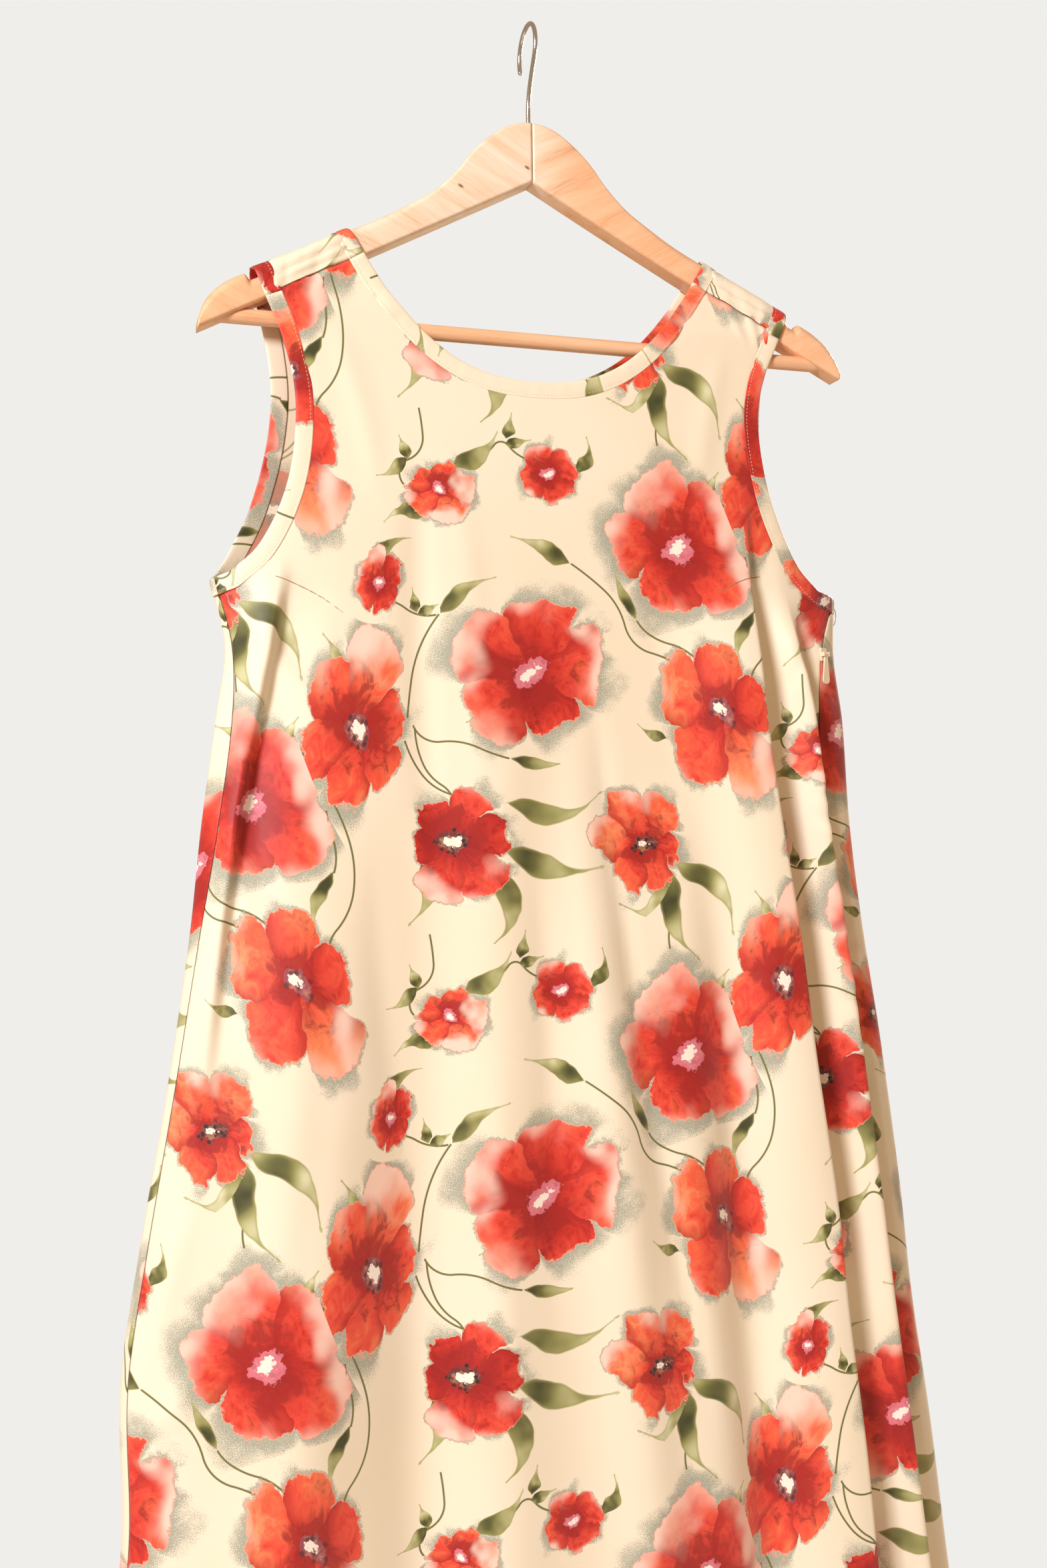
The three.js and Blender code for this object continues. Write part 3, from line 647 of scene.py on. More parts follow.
@dataclass
class OpenEdges:
    """The neckline and both armholes, as lines on the dress's form."""

    form: DressForm
    step: float = 2.2

    def surface_edge(self, points: Array, normals: Array, into: float) -> Edge:
        """Builds an edge.

        Args:
            points: Its line.
            normals: The way out of the cloth at each point.
            into: 1 where the panel is on the line's left, and -1 on its right.

        Returns:
            The edge, with its points spread evenly.
        """
        line = spaced(np.concatenate([points, normals], axis=1), self.step)
        at, out = line[:, :3], unit(line[:, 3:])
        along = unit(np.gradient(at, axis=0))
        inward = unit(np.cross(out, along)) * into
        for _ in range(3):
            inward[1:-1] = unit(inward[:-2] + 2 * inward[1:-1] + inward[2:])
        return Edge(at, unit(np.cross(along, inward) * into), inward)

    def normals(
        self, chart: Callable[[Array, Array], Array], a: Array, b: Array, da: float = 0.5, db: float = 0.5
    ) -> Array:
        """The directions square to a chart of the form, by small steps of its two coordinates."""
        return unit(np.cross(chart(a + da, b) - chart(a - da, b), chart(a, b + db) - chart(a, b - db)))

    def over_strap(self, front: tuple[Array, Array], back: tuple[Array, Array]) -> tuple[Array, Array]:
        """A line from the front, over the hanger and down the back.

        Args:
            front: The x and z of the front's part, which ends at the top.
            back: The x and z of the back's part, which starts at the top.

        Returns:
            Its points and the outward directions there.
        """
        form = self.form
        parts = []
        for side, (x, z) in ((Side.FRONT, front), (Side.BACK, back)):
            sign = 1 if side is Side.FRONT else -1
            chart = partial(form.upright, side=side)
            points = chart(x, z)
            normal = sign * self.normals(chart, x, z)
            lift = np.clip(1 - (form.shoulder(x) - z) / form.bend, 0, 1)
            rise = np.arcsin(lift) / math.pi
            near = form.shoulder(x) - z < form.bend * 0.98
            arch = self.strap_normals(x, 1 - rise if side is Side.FRONT else rise)
            parts.append((points, np.where(near[:, None], arch, normal), x, rise))
        (p, n, px, p_rise), (q, m, qx, q_rise) = parts
        gap = np.linspace(0, 1, 9)[1:-1]
        along = mix(1 - p_rise[-1], q_rise[0], gap)
        x = mix(px[-1], qx[0], gap)
        points = np.concatenate([p, form.strap(x, along), q])
        return points, np.concatenate([n, self.strap_normals(x, along), m])

    def strap_normals(self, x: Array, along: Array) -> Array:
        """The outward directions of the straps where they bend over the hanger."""
        return -self.normals(self.form.strap, x, along, db=0.01)

    def neck_line(self, side: Side, low: float, high: float) -> tuple[Array, Array]:
        """The x and z of one side's neckline. low and high go from -1 at the left to 1."""
        form = self.form
        reach = np.linspace(low, high, 160)
        reach = np.sign(reach) * np.abs(reach) ** 0.8
        depth = form.neck_depth_front if side is Side.FRONT else form.neck_depth_back
        drop = depth * (1 - np.abs(reach) ** form.neck_power)
        return form.neck_half * reach + form.shift, form.neck_top - drop

    def seam_reach(self, hand: int) -> float:
        """How far along the front's neckline the shoulder seam meets it, from 0 to 1."""
        at = np.linspace(0.5, 1, 400)
        x, z = self.neck_line(Side.FRONT, hand * 0.5, hand * 1.0)
        crossing = np.argmax(z > self.form.seam_z(x))
        return float(at[min(399, round(crossing / 159 * 399))])

    def neck(self, side: Side) -> Edge:
        """The neckline of one side: the back's runs over both straps to the shoulder seams.

        Args:
            side: The side.

        Returns:
            The edge, from left to right.
        """
        form = self.form
        if side is Side.FRONT:
            x, z = self.neck_line(side, -self.seam_reach(-1), self.seam_reach(1))
            chart = partial(form.upright, side=side)
            return self.surface_edge(chart(x, z), self.normals(chart, x, z), -1)
        flaps = [self.neck_line(Side.FRONT, hand * self.seam_reach(hand), hand) for hand in (-1, 1)]
        left = self.over_strap(flaps[0], self.neck_line(side, -1, 0))
        right = self.over_strap(flaps[1], self.neck_line(side, 1, 0))
        points = np.concatenate([left[0][:-1], right[0][::-1]])
        normals = np.concatenate([left[1][:-1], right[1][::-1]])
        return self.surface_edge(points, normals, 1)

    def armhole_xz(self, side: Side, hand: int) -> Array:
        """One armhole's line on one side, from the shoulder to beside the underarm."""
        line = through(self.form.armhole_front if side is Side.FRONT else self.form.armhole_back, 2.0)
        shift = self.form.shift * np.clip((line[:, 1] + 340) / 100, 0, 1)
        return np.stack([hand * line[:, 0] + shift, line[:, 1]], axis=1)

    def underarm(self, hand: int) -> tuple[Array, Array]:
        """The line under the arm, from the front to the back.

        Args:
            hand: -1 for the left arm, 1 for the right one.

        Returns:
            The ring coordinates and heights of its points.
        """
        form = self.form
        front, back = self.armhole_xz(Side.FRONT, hand), self.armhole_xz(Side.BACK, hand)
        start = form.ring_at(front[-1, 0], front[-1, 1])
        end = 2 * hand - form.ring_at(back[-1, 0], back[-1, 1])
        lowest = form.underarm_z
        rings = (start, mix(start, hand, 0.5), hand, mix(end, hand, 0.5), end)
        heights = (front[-1, 1], lowest + 1, lowest, lowest + 1, back[-1, 1])
        knots, at = np.linspace(0, 1, 5), np.linspace(0, 1, 60)
        return sampled(knots, rings, at), sampled(knots, heights, at)

    def armhole(self, hand: int) -> Edge:
        """One whole armhole, from the front's shoulder seam down, under the arm, up and over.

        Args:
            hand: -1 for the left one, 1 for the right one.

        Returns:
            The edge.
        """
        form = self.form
        front, back = self.armhole_xz(Side.FRONT, hand), self.armhole_xz(Side.BACK, hand)
        seam = np.argmax(front[:, 1] < form.seam_z(front[:, 0]))
        chart = partial(form.upright, side=Side.FRONT)
        x, z = front[seam:].T
        parts = [(chart(x, z), self.normals(chart, x, z))]
        ring, z = self.underarm(hand)
        normal = self.normals(form.body, ring, z, da=0.002)
        parts.append((form.body(ring, z)[1:-1], normal[1:-1]))
        over = self.over_strap(tuple(front[seam::-1].T), tuple(back.T))
        parts.append((over[0][::-1], over[1][::-1]))
        points, normals = (np.concatenate([part[i] for part in parts]) for i in (0, 1))
        return self.surface_edge(points, normals, -hand)


# -------- the printed cloth


@dataclass(frozen=True)
class Poppy:
    """One printed poppy: its place and size in the repeat, and how its petals are painted.

    pale is the share of washed-out petals, dark the strength of the black stamens.
    """

    x: float
    z: float
    width: float
    height: float
    turn: float = 0.0
    petals: int = 5
    pale: float = 0.3
    dark: float = 0.3


@dataclass(frozen=True)
class Leaf:
    """One printed leaf, from its base to its tip.

    width is its widest half, near the base. sag is how far its middle swings to the left of the
    straight way to the tip, which it then meets in a hook.
    """

    base: Pair
    tip: Pair
    width: float = 6.0
    sag: float = 0.0


@dataclass(frozen=True)
class Stem:
    """One printed stem: arcs through its points, each one carrying on the way of the last.

    heading is the way that it sets out, in degrees.
    """

    heading: float
    points: tuple[Pair, ...]


POPPIES = (
    Poppy(-14, -441, 108, 98, 8, 5, 0.5, 0.12),
    Poppy(94, -353, 96, 104, 40, 5, 0.1, 0.15),
    Poppy(-129, -480, 72, 112, -14, 6, 0.0, 0.6),
    Poppy(122, -466, 82, 112, 16, 5, 0.1, 0.55),
    Poppy(-67, -550, 76, 72, -20, 6, 0.3, 1.0),
    Poppy(66, -555, 64, 74, 24, 6, 0.25, 0.8),
    Poppy(-72, -322, 44, 38, 10, 5, 0.15, 0.1),
    Poppy(2, -308, 40, 40, -15, 4, 0.15, 0.1),
    Poppy(-113, -384, 30, 44, -18, 4, 0.1, 0.1),
)
LEAVES = (
    Leaf((18, -368), (-25, -351), 6.0, -2),
    Leaf((64, -405), (47, -366), 4.0, 2),
    Leaf((-76, -404), (-34, -378), 5.2, 4),
    Leaf((-88, -403), (-91, -386), 3.6, 0),
    Leaf((-88, -404), (-72, -396), 3.4, 0),
    Leaf((-140, -452), (-150, -417), 5.5, -4),
    Leaf((-30, -497), (15, -499), 4.2, -3),
    Leaf((-36, -466), (-54, -453), 4.0, 2),
    Leaf((-34, -526), (37, -519), 7.0, -12),
    Leaf((-36, -556), (36, -569), 8.5, -7),
    Leaf((-42, -562), (-48, -622), 9.0, 15),
    Leaf((-84, -556), (-98, -604), 7.0, 8),
    Leaf((72, -532), (34, -551), 7.0, 5),
    Leaf((88, -574), (46, -594), 8.5, 15),
    Leaf((82, -570), (104, -634), 8.5, -10),
    Leaf((86, -566), (130, -618), 8.0, 12),
    Leaf((-64, -308), (-30, -280), 6.5, -5),
    Leaf((-92, -302), (-114, -316), 4.2, 3),
    Leaf((-92, -304), (-98, -288), 3.8, 0),
    Leaf((-80, -338), (-110, -346), 4.8, -5),
    Leaf((-25, -288), (-21, -268), 4.2, 0),
    Leaf((-27, -290), (-8, -286), 4.0, 0),
    Leaf((22, -308), (31, -281), 5.0, -5),
    Leaf((-121, -372), (-88, -354), 4.6, 4),
    Leaf((118, -322), (127, -300), 4.8, 2),
    Leaf((126, -326), (144, -316), 4.4, 2),
    Leaf((-146, -566), (-160, -608), 5.0, -5),
    Leaf((84, -484), (62, -474), 3.6, 2),
    Leaf((-22, -462), (-58, -474), 5.0, -3),
)
STEMS = (
    Stem(-32, ((18, -368), (40, -384), (55, -408), (73, -426), (95, -436), (120, -447))),
    Stem(-58, ((64, -405), (73, -414), (87, -420), (102, -428), (119, -446))),
    Stem(-128, ((-74, -404), (-86, -424), (-93, -448), (-96, -470))),
    Stem(-64, ((-92, -476), (-74, -486), (-50, -490), (-30, -497))),
    Stem(-72, ((-98, -486), (-86, -508), (-68, -520), (-52, -530))),
    Stem(-88, ((-91, -478), (-86, -500), (-74, -514), (-66, -532))),
    Stem(-60, ((-148, -520), (-136, -548), (-134, -580), (-146, -604), (-144, -634))),
    Stem(-82, ((-150, -530), (-146, -548), (-146, -568))),
    Stem(-80, ((-84, -270), (-82, -288), (-92, -304), (-96, -320))),
    Stem(24, ((-48, -302), (-34, -291), (-24, -291), (-8, -300), (0, -308))),
    Stem(-92, ((88, -586), (84, -604), (82, -624))),
    Stem(-10, ((-106, -396), (-96, -400), (-76, -404))),
    Stem(160, ((-60, -330), (-72, -332), (-84, -340))),
)


@dataclass(frozen=True)
class PoppyPrint:
    """A half-drop repeat of loose watercolour poppies, their leaves and stems, on cream.

    Each column of the repeat is half a height higher than the last. Sizes are in millimetres.
    """

    width: float = 293.0
    height: float = 340.0
    left: float = -160.0
    bottom: float = -640.0
    ground: str = "#f3e3c9"
    tint: str = "#edd8b4"
    haze: str = "#868e7d"
    stem: str = "#706e3c"
    leaf_edge: str = "#98934f"
    washes: tuple[tuple[float, str], ...] = (
        (0.14, "#9c1812"), (0.28, "#c62a1c"), (0.44, "#e44632"), (0.6, "#ee623e"), (0.8, "#f58e5e"),
    )
    greens: tuple[tuple[float, str], ...] = (
        (0.05, "#3f4020"), (0.27, "#666434"), (0.5, "#9a955a"), (0.72, "#bdb883"), (0.95, "#ded9b0"),
    )
    soots: tuple[tuple[float, str], ...] = ((0.38, "#2a1b17"), (0.5, "#4d2f22"), (0.62, "#9c7a52"))
    # along a leaf from its base to its tip: the place, how wide, how far aside, how pale
    leaf_growth: tuple[tuple[float, ...], ...] = (
        (0.0, 0.0, 0.0, 0.45),
        (0.06, 0.2, 0.08, 0.3),
        (0.2, 0.85, 0.4, 0.1),
        (0.36, 1.0, 0.8, 0.2),
        (0.54, 0.74, 1.0, 0.6),
        (0.7, 0.36, 0.92, 0.75),
        (0.82, 0.15, 0.62, 0.8),
        (0.93, 0.1, 0.2, 0.8),
        (0.98, 0.14, 0.04, 0.85),
        (1.0, 0.0, 0.0, 0.9),
    )

    def copies(self, x: float, z: float, reach: float) -> list[Pair]:
        """Where a motif and its neighbours' copies touch the repeat.

        Args:
            x: The motif's place across.
            z: The motif's height.
            reach: How far it stretches from there.

        Returns:
            The places, from the repeat's lower left corner.
        """
        places = []
        for across in range(-2, 3):
            for up in range(-3, 4):
                px = x - self.left + across * self.width
                pz = z - self.bottom + across * self.height / 2 + up * self.height
                if -reach < px < self.width + reach and -reach < pz < self.height + reach:
                    places.append((px, pz))
        return places

    def cell(self, tree: NodeTree, cloth: NodeSocket) -> Node:
        """Folds the whole cloth into one repeat.

        Args:
            tree: The tree to build in.
            cloth: The cloth's flat coordinates, in metres.

        Returns:
            The place in the repeat, in millimetres from its lower left corner.
        """
        add = partial(add_node, tree)
        flat = add("VectorMath", (cloth, (1000, 1000, 0)), operation="MULTIPLY")
        flat = add("VectorMath", (flat, (-self.left, -self.bottom, 0)), operation="ADD")
        place = add("SeparateXYZ", (flat,))
        share = add("Math", (place.outputs[0], self.width), operation="DIVIDE")
        step = add("Math", (share,), operation="FLOOR")
        x = add("Math", (step, -self.width, place.outputs[0]), operation="MULTIPLY_ADD")
        z = add("Math", (step, -self.height / 2, place.outputs[1]), operation="MULTIPLY_ADD")
        z = add("Math", (z, self.height, 0.0), operation="WRAP")
        return add("CombineXYZ", (x, z))

    def nearest(self, tree: NodeTree, cell: Node, motifs: Sequence[tuple[float, ...]]) -> Node:
        """Finds the motif that a point belongs to.

        Args:
            tree: The tree to build in.
            cell: The point in the repeat.
            motifs: Each motif's x, z, half width, half height and turn in degrees.

        Returns:
            The point in that motif's own coordinates, which run from -1 to 1, with a thousandth
            of the motif's number as the third.
        """
        add = partial(add_node, tree)
        found, least = None, None
        for number, (x, z, half, tall, turn) in enumerate(motifs):
            turned = (0, 0, math.radians(turn))
            for px, pz in self.copies(x, z, max(half, tall) * 1.5):
                at = (px, pz, -number * 0.001)
                own = add("Mapping", (cell, at, turned, (half, tall, 1)), vector_type="TEXTURE")
                away = add("VectorMath", (own,), operation="LENGTH")
                if found is None:
                    found, least = own, away
                    continue
                closer = add("Math", (away, least), operation="LESS_THAN")
                found = add("Mix", {0: closer, 4: found, 5: own}, data_type="VECTOR")
                least = add("Math", (away, least), operation="MINIMUM")
        return found

    def paint_poppies(self, tree: NodeTree, cell: Node, under: Node) -> tuple[Node, Node, Node]:
        """Draws the poppies.

        Args:
            tree: The tree to build in.
            cell: The point in the repeat.
            under: The colour of the bare ground.

        Returns:
            The ground with the grey-green haze round each poppy, the poppies' colour, and their
            share at the point.
        """
        add = partial(add_node, tree)
        motifs = [(p.x, p.z, p.width / 2, p.height / 2, p.turn) for p in POPPIES]
        own = self.nearest(tree, cell, motifs)
        seeded = add("VectorMath", (own, (1, 1, 3700)), operation="MULTIPLY")
        warp = add("TexNoise", {"Vector": seeded, "Scale": 1.5, "Detail": 3.0})
        warp = add("VectorMath", (warp.outputs["Color"], (0.5, 0.5, 0.5)), operation="SUBTRACT")
        moved = add("VectorMath", (warp, (0.62, 0.62, 0), own), operation="MULTIPLY_ADD")
        place = add("SeparateXYZ", (moved,))
        radius = add("VectorMath", (moved,), operation="LENGTH")
        angle = add("Math", (place.outputs[1], place.outputs[0]), operation="ARCTAN2")
        number = add("Math", (place.outputs[2], 1000 / 16, 0.02), operation="MULTIPLY_ADD")
        habits = [(i / 16, (p.pale, p.dark, p.petals / 10, 1.0)) for i, p in enumerate(POPPIES)]
        habit = add("ValToRGB", (number,), ramp="CONSTANT", stops=habits)
        habit = add("SeparateColor", (habit,))
        petals = add("Math", (habit.outputs[2], 10), operation="MULTIPLY")
        petals = add("Math", (petals,), operation="ROUND")
        turn = add("Math", (angle, 0.5 / math.pi, 0.5), operation="MULTIPLY_ADD")
        turn = add("Math", (turn, petals), operation="MULTIPLY")
        petal = add("Math", (turn,), operation="FLOOR")
        across = add("Math", (turn,), operation="FRACT")
        across = add("Math", (across, 0.5), operation="SUBTRACT")
        chance = add("Math", (number, 91.7, petal), operation="MULTIPLY_ADD")
        chance = add("TexWhiteNoise", {1: chance}, noise_dimensions="1D")

        # The outline: broad unequal petals, notched where they meet, with a finely ruffled rim.
        notch = add("Math", (across,), operation="ABSOLUTE")
        notch = add("Math", (notch, 2.0), operation="MULTIPLY")
        notch = add("Math", (notch, 5.0), operation="POWER")
        ruffle = add("TexNoise", {"Vector": seeded, "Scale": 7.5, "Detail": 4.0, "Roughness": 0.72})
        rim = add("Math", (chance.outputs[0], 0.3, 0.74), operation="MULTIPLY_ADD")
        rim = add("Math", (notch, -0.2, rim), operation="MULTIPLY_ADD")
        rim = add("Math", (ruffle.outputs[0], 0.24, rim), operation="MULTIPLY_ADD")
        # The heart sits off centre, so that some petals are seen long and others short.
        luck = add("TexWhiteNoise", {1: number}, noise_dimensions="1D")
        lean = add("VectorMath", (luck.outputs[1], (0.5, 0.5, 0.5)), operation="SUBTRACT")
        lean = add("VectorMath", (lean, (0.26, 0.26, 0), moved), operation="MULTIPLY_ADD")
        reach = add("VectorMath", (lean,), operation="LENGTH")
        inside = add("Math", (rim, reach), operation="SUBTRACT")
        share = add("MapRange", (inside, -0.006, 0.014), **EASED)

        # The washes: wet blotches and petal veins pick the red, from crimson to orange.
        wet = {"Vector": seeded, "Scale": 2.5, "Detail": 6.0, "Roughness": 0.66, "Distortion": 1.3}
        blotch = add("TexNoise", wet)
        cloud = add("TexNoise", {"Vector": seeded, "Scale": 1.5, "Detail": 1.0, "Distortion": 0.3})
        streak = add("Math", (petal, 7.0, across), operation="MULTIPLY_ADD")
        spoke = add("Math", (radius, 0.22), operation="MULTIPLY")
        streak = add("CombineXYZ", (streak, spoke, number))
        streak = add("TexNoise", {"Vector": streak, "Scale": 8.0, "Detail": 3.0})
        tone = add("Math", (streak.outputs[0], 0.28, blotch.outputs[0]), operation="MULTIPLY_ADD")
        tone = add("Math", (radius, 0.26, tone), operation="MULTIPLY_ADD")
        tone = add("Math", (chance.outputs[0], 0.26, tone), operation="MULTIPLY_ADD")
        tone = add("Math", (tone, 0.57), operation="SUBTRACT")
        tone = add("Math", (luck.outputs[0], 0.24, tone), operation="MULTIPLY_ADD")
        wash = add("ValToRGB", (tone,), stops=self.washes)
        # Crimson pools with torn edges gather beside the heart and along the petals' overlaps.
        pool = add("Math", (blotch.outputs[0], 2.1, -1.0), operation="MULTIPLY_ADD")
        pool = add("Math", (cloud.outputs[0], 1.1, pool), operation="MULTIPLY_ADD")
        pool = add("Math", (pool, radius), operation="SUBTRACT")
        pool = add("MapRange", {0: pool, 1: -0.05, 2: 0.34, 4: 0.85}, **EASED)
        colour = add("Mix", {0: pool, 6: wash, 7: "#9a1513"}, **RGBA)
        fold = add("MapRange", {0: across, 1: 0.2, 2: 0.5, 4: 0.72}, **EASED)
        colour = add("Mix", {0: fold, 6: colour, 7: "#a81d15"}, **RGBA)
        # Pale pink washes bleed in from the rims, most on the petals that the light takes.
        bleed = add("Math", (habit.outputs[0], 0.42, radius), operation="MULTIPLY_ADD")
        bleed = add("Math", (chance.outputs[0], 0.55, bleed), operation="MULTIPLY_ADD")
        bleed = add("Math", (cloud.outputs[0], 1.7, bleed), operation="MULTIPLY_ADD")
        bleed = add("MapRange", {0: bleed, 1: 1.97, 2: 2.6, 4: 0.92}, **EASED)
        colour = add("Mix", {0: bleed, 6: colour, 7: "#fad4c0"}, **RGBA)
        hairline = add("Mix", {0: bleed, 6: "#f8c3a6", 7: "#ea8268"}, **RGBA)
        outline = add("MapRange", {0: inside, 1: 0.03, 2: 0.008, 4: 0.7}, **EASED)
        colour = add("Mix", {0: outline, 6: colour, 7: hairline}, **RGBA)

        # The heart: a raspberry collar round a pale boss, and a ring of black stamens.
        speck = add("TexNoise", {"Vector": seeded, "Scale": 13.0, "Detail": 2.0, "Roughness": 0.6})
        ragged = add("Math", (speck.outputs[0], 0.22, radius), operation="MULTIPLY_ADD")
        collar = add("MapRange", {0: ragged, 1: 0.32, 2: 0.3, 4: 0.85}, **EASED)
        blush = add("Mix", {0: speck.outputs[0], 6: "#cf3a5c", 7: "#f0a6ab"}, **RGBA)
        sooty = add("ValToRGB", (speck.outputs[0],), stops=self.soots)
        sootier = add("MapRange", {0: habit.outputs[1], 1: 0.2, 2: 0.7, 4: 0.9})
        blush = add("Mix", {0: sootier, 6: blush, 7: sooty}, **RGBA)
        colour = add("Mix", {0: collar, 6: colour, 7: blush}, **RGBA)
        dots = add("TexVoronoi", {"Vector": seeded, "Scale": 9.0, "Randomness": 1.0})
        dots = add("MapRange", (dots.outputs[0], 0.42, 0.26), **EASED)
        band = add("Math", (ragged, 0.27), operation="SUBTRACT")
        band = add("Math", (band,), operation="ABSOLUTE")
        band = add("MapRange", (band, 0.13, 0.05), **EASED)
        dots = add("Math", (dots, band), operation="MULTIPLY")
        dots = add("Math", (dots, habit.outputs[1]), operation="MULTIPLY")
        dots = add("Math", (dots, 1.3), operation="MULTIPLY", use_clamp=True)
        colour = add("Mix", {0: dots, 6: colour, 7: "#3a1e20"}, **RGBA)
        boss = add("MapRange", {0: ragged, 1: 0.215, 2: 0.2, 4: 0.95}, **EASED)
        pip = add("MapRange", {0: speck.outputs[0], 1: 0.34, 2: 0.3, 4: 0.7})
        pale = add("Mix", {0: pip, 6: "#fbeedd", 7: "#5a3a2c"}, **RGBA)
        colour = add("Mix", {0: boss, 6: colour, 7: pale}, **RGBA)

        # The haze: grey-green sprayed beside the petals. Its grains of 0.4 mm are drawn at 0.5 mm.
        drift = add("TexNoise", {"Vector": seeded, "Scale": 0.9, "Detail": 1.0})
        drift = add("MapRange", (drift.outputs[0], 0.42, 0.62, 0.05, 0.56))
        drift = add("Math", (inside, drift), operation="DIVIDE")
        drift = add("Math", (drift, 1.1, 1.2), operation="MULTIPLY_ADD")
        gone = add("MapRange", {0: radius, 1: 1.2, 2: 1.65, 4: 1.6}, **EASED)
        drift = add("Math", (drift, gone), operation="SUBTRACT")
        grain = add("TexNoise", {"Vector": cell, "Scale": 2.0, "Detail": 1.0})
        grain = add("Math", (grain.outputs[0], -2.6, drift), operation="MULTIPLY_ADD")
        grain = add("MapRange", {0: grain, 1: -0.75, 2: -0.25, 4: 0.8}, **EASED)
        ground = add("Mix", {0: grain, 6: under, 7: self.haze}, **RGBA)
        return ground, colour, share

    def paint_leaves(self, tree: NodeTree, cell: Node, under: Node) -> Node:
        """Draws the leaves: S-curved, hooked at the tip, dark in the belly.

        Args:
            tree: The tree to build in.
            cell: The point in the repeat.
            under: The colour below them.

        Returns:
            The colour with the leaves on it.
        """
        add = partial(add_node, tree)
        motifs, habits = [], []
        for number, leaf in enumerate(LEAVES):
            way = np.subtract(leaf.tip, leaf.base)
            middle = np.add(leaf.tip, leaf.base) / 2
            half = math.hypot(*way) / 2
            turn = math.degrees(math.atan2(way[1], way[0]))
            motifs.append((float(middle[0]), float(middle[1]), half, half, turn))
            habits.append((number / 32, (leaf.width / half, leaf.sag / half / 2 + 0.5, 0.0, 1.0)))
        own = self.nearest(tree, cell, motifs)
        seeded = add("VectorMath", (own, (1, 1, 2300)), operation="MULTIPLY")
        place = add("SeparateXYZ", (own,))
        number = add("Math", (place.outputs[2], 1000 / 32, 0.01), operation="MULTIPLY_ADD")
        habit = add("ValToRGB", (number,), ramp="CONSTANT", stops=habits)
        habit = add("SeparateColor", (habit,))
        along = add("Math", (place.outputs[0], 0.5, 0.5), operation="MULTIPLY_ADD")
        stops = [(at, (*shape, 1.0)) for at, *shape in self.leaf_growth]
        growth = add("ValToRGB", (along,), ramp="CARDINAL", stops=stops)
        growth = add("SeparateColor", (growth,))
        sag = add("Math", (habit.outputs[1], 2.0, -1.0), operation="MULTIPLY_ADD")
        bent = add("Math", (growth.outputs[1], sag), operation="MULTIPLY")
        bent = add("Math", (place.outputs[1], bent), operation="SUBTRACT")
        waver = add("TexNoise", {"Vector": seeded, "Scale": 1.7, "Detail": 1.0})
        ruffle = add("Math", (waver.outputs[0], 1.0, 0.5), operation="MULTIPLY_ADD")
        girth = add("Math", (growth.outputs[0], habit.outputs[0]), operation="MULTIPLY")
        girth = add("Math", (girth, ruffle), operation="MULTIPLY")
        away = add("Math", (bent,), operation="ABSOLUTE")
        inside = add("Math", (girth, away), operation="SUBTRACT")
        share = add("MapRange", (inside, -0.01, 0.025), **EASED)
        tone = add("Math", (waver.outputs[0], 1.5, growth.outputs[2]), operation="MULTIPLY_ADD")
        tone = add("Math", (tone, 0.8, -0.48), operation="MULTIPLY_ADD")
        colour = add("ValToRGB", (tone,), stops=self.greens)
        edge = add("MapRange", {0: inside, 1: 0.07, 2: 0.02, 4: 0.5}, **EASED)
        colour = add("Mix", {0: edge, 6: colour, 7: self.leaf_edge}, **RGBA)
        return add("Mix", {0: share, 6: under, 7: colour}, **RGBA)

    def paint_stems(self, tree: NodeTree, cell: Node, under: Node) -> Node:
        """Draws the stems, 1.3 mm wide: each arc is what a disc round its middle cuts from a circle.

        Args:
            tree: The tree to build in.
            cell: The point in the repeat.
            under: The colour below them.

        Returns:
            The colour with the stems on it.
        """
        add = partial(add_node, tree)
        least = None
        for stem in STEMS:
            heading = math.radians(stem.heading)
            for start, end in zip(stem.points, stem.points[1:]):
                chord = complex(end[0] - start[0], end[1] - start[1])
                swing = math.remainder(heading - math.atan2(chord.imag, chord.real), 2 * math.pi)
                swing = math.copysign(max(abs(swing), 0.03), swing)
                heading -= 2 * swing
                length = abs(chord)
                left = chord / length * 1j
                between = complex(start[0] + end[0], start[1] + end[1]) / 2
                middle = between + left * length / 2 * math.tan(swing / 2)
                radius = length / 2 / math.sin(swing)
                centre = middle - left * radius
                half = length / 2 / math.cos(swing / 2)
                for mx, mz in self.copies(middle.real, middle.imag, half):
                    offset = (mx + centre.real - middle.real, mz + centre.imag - middle.imag, 0)
                    away = add("VectorMath", (cell, offset), operation="DISTANCE")
                    away = add("Math", (away, abs(radius)), operation="SUBTRACT")
                    away = add("Math", (away,), operation="ABSOLUTE")
                    along = add("VectorMath", (cell, (mx, mz, 0)), operation="DISTANCE")
                    along = add("Math", (along, half), operation="SUBTRACT")
                    away = add("Math", (away, along), operation="MAXIMUM")
                    least = away if least is None else add("Math", (least, away), operation="MINIMUM")
        share = add("MapRange", (least, 0.9, 0.4), **EASED)
        return add("Mix", {0: share, 6: under, 7: self.stem}, **RGBA)

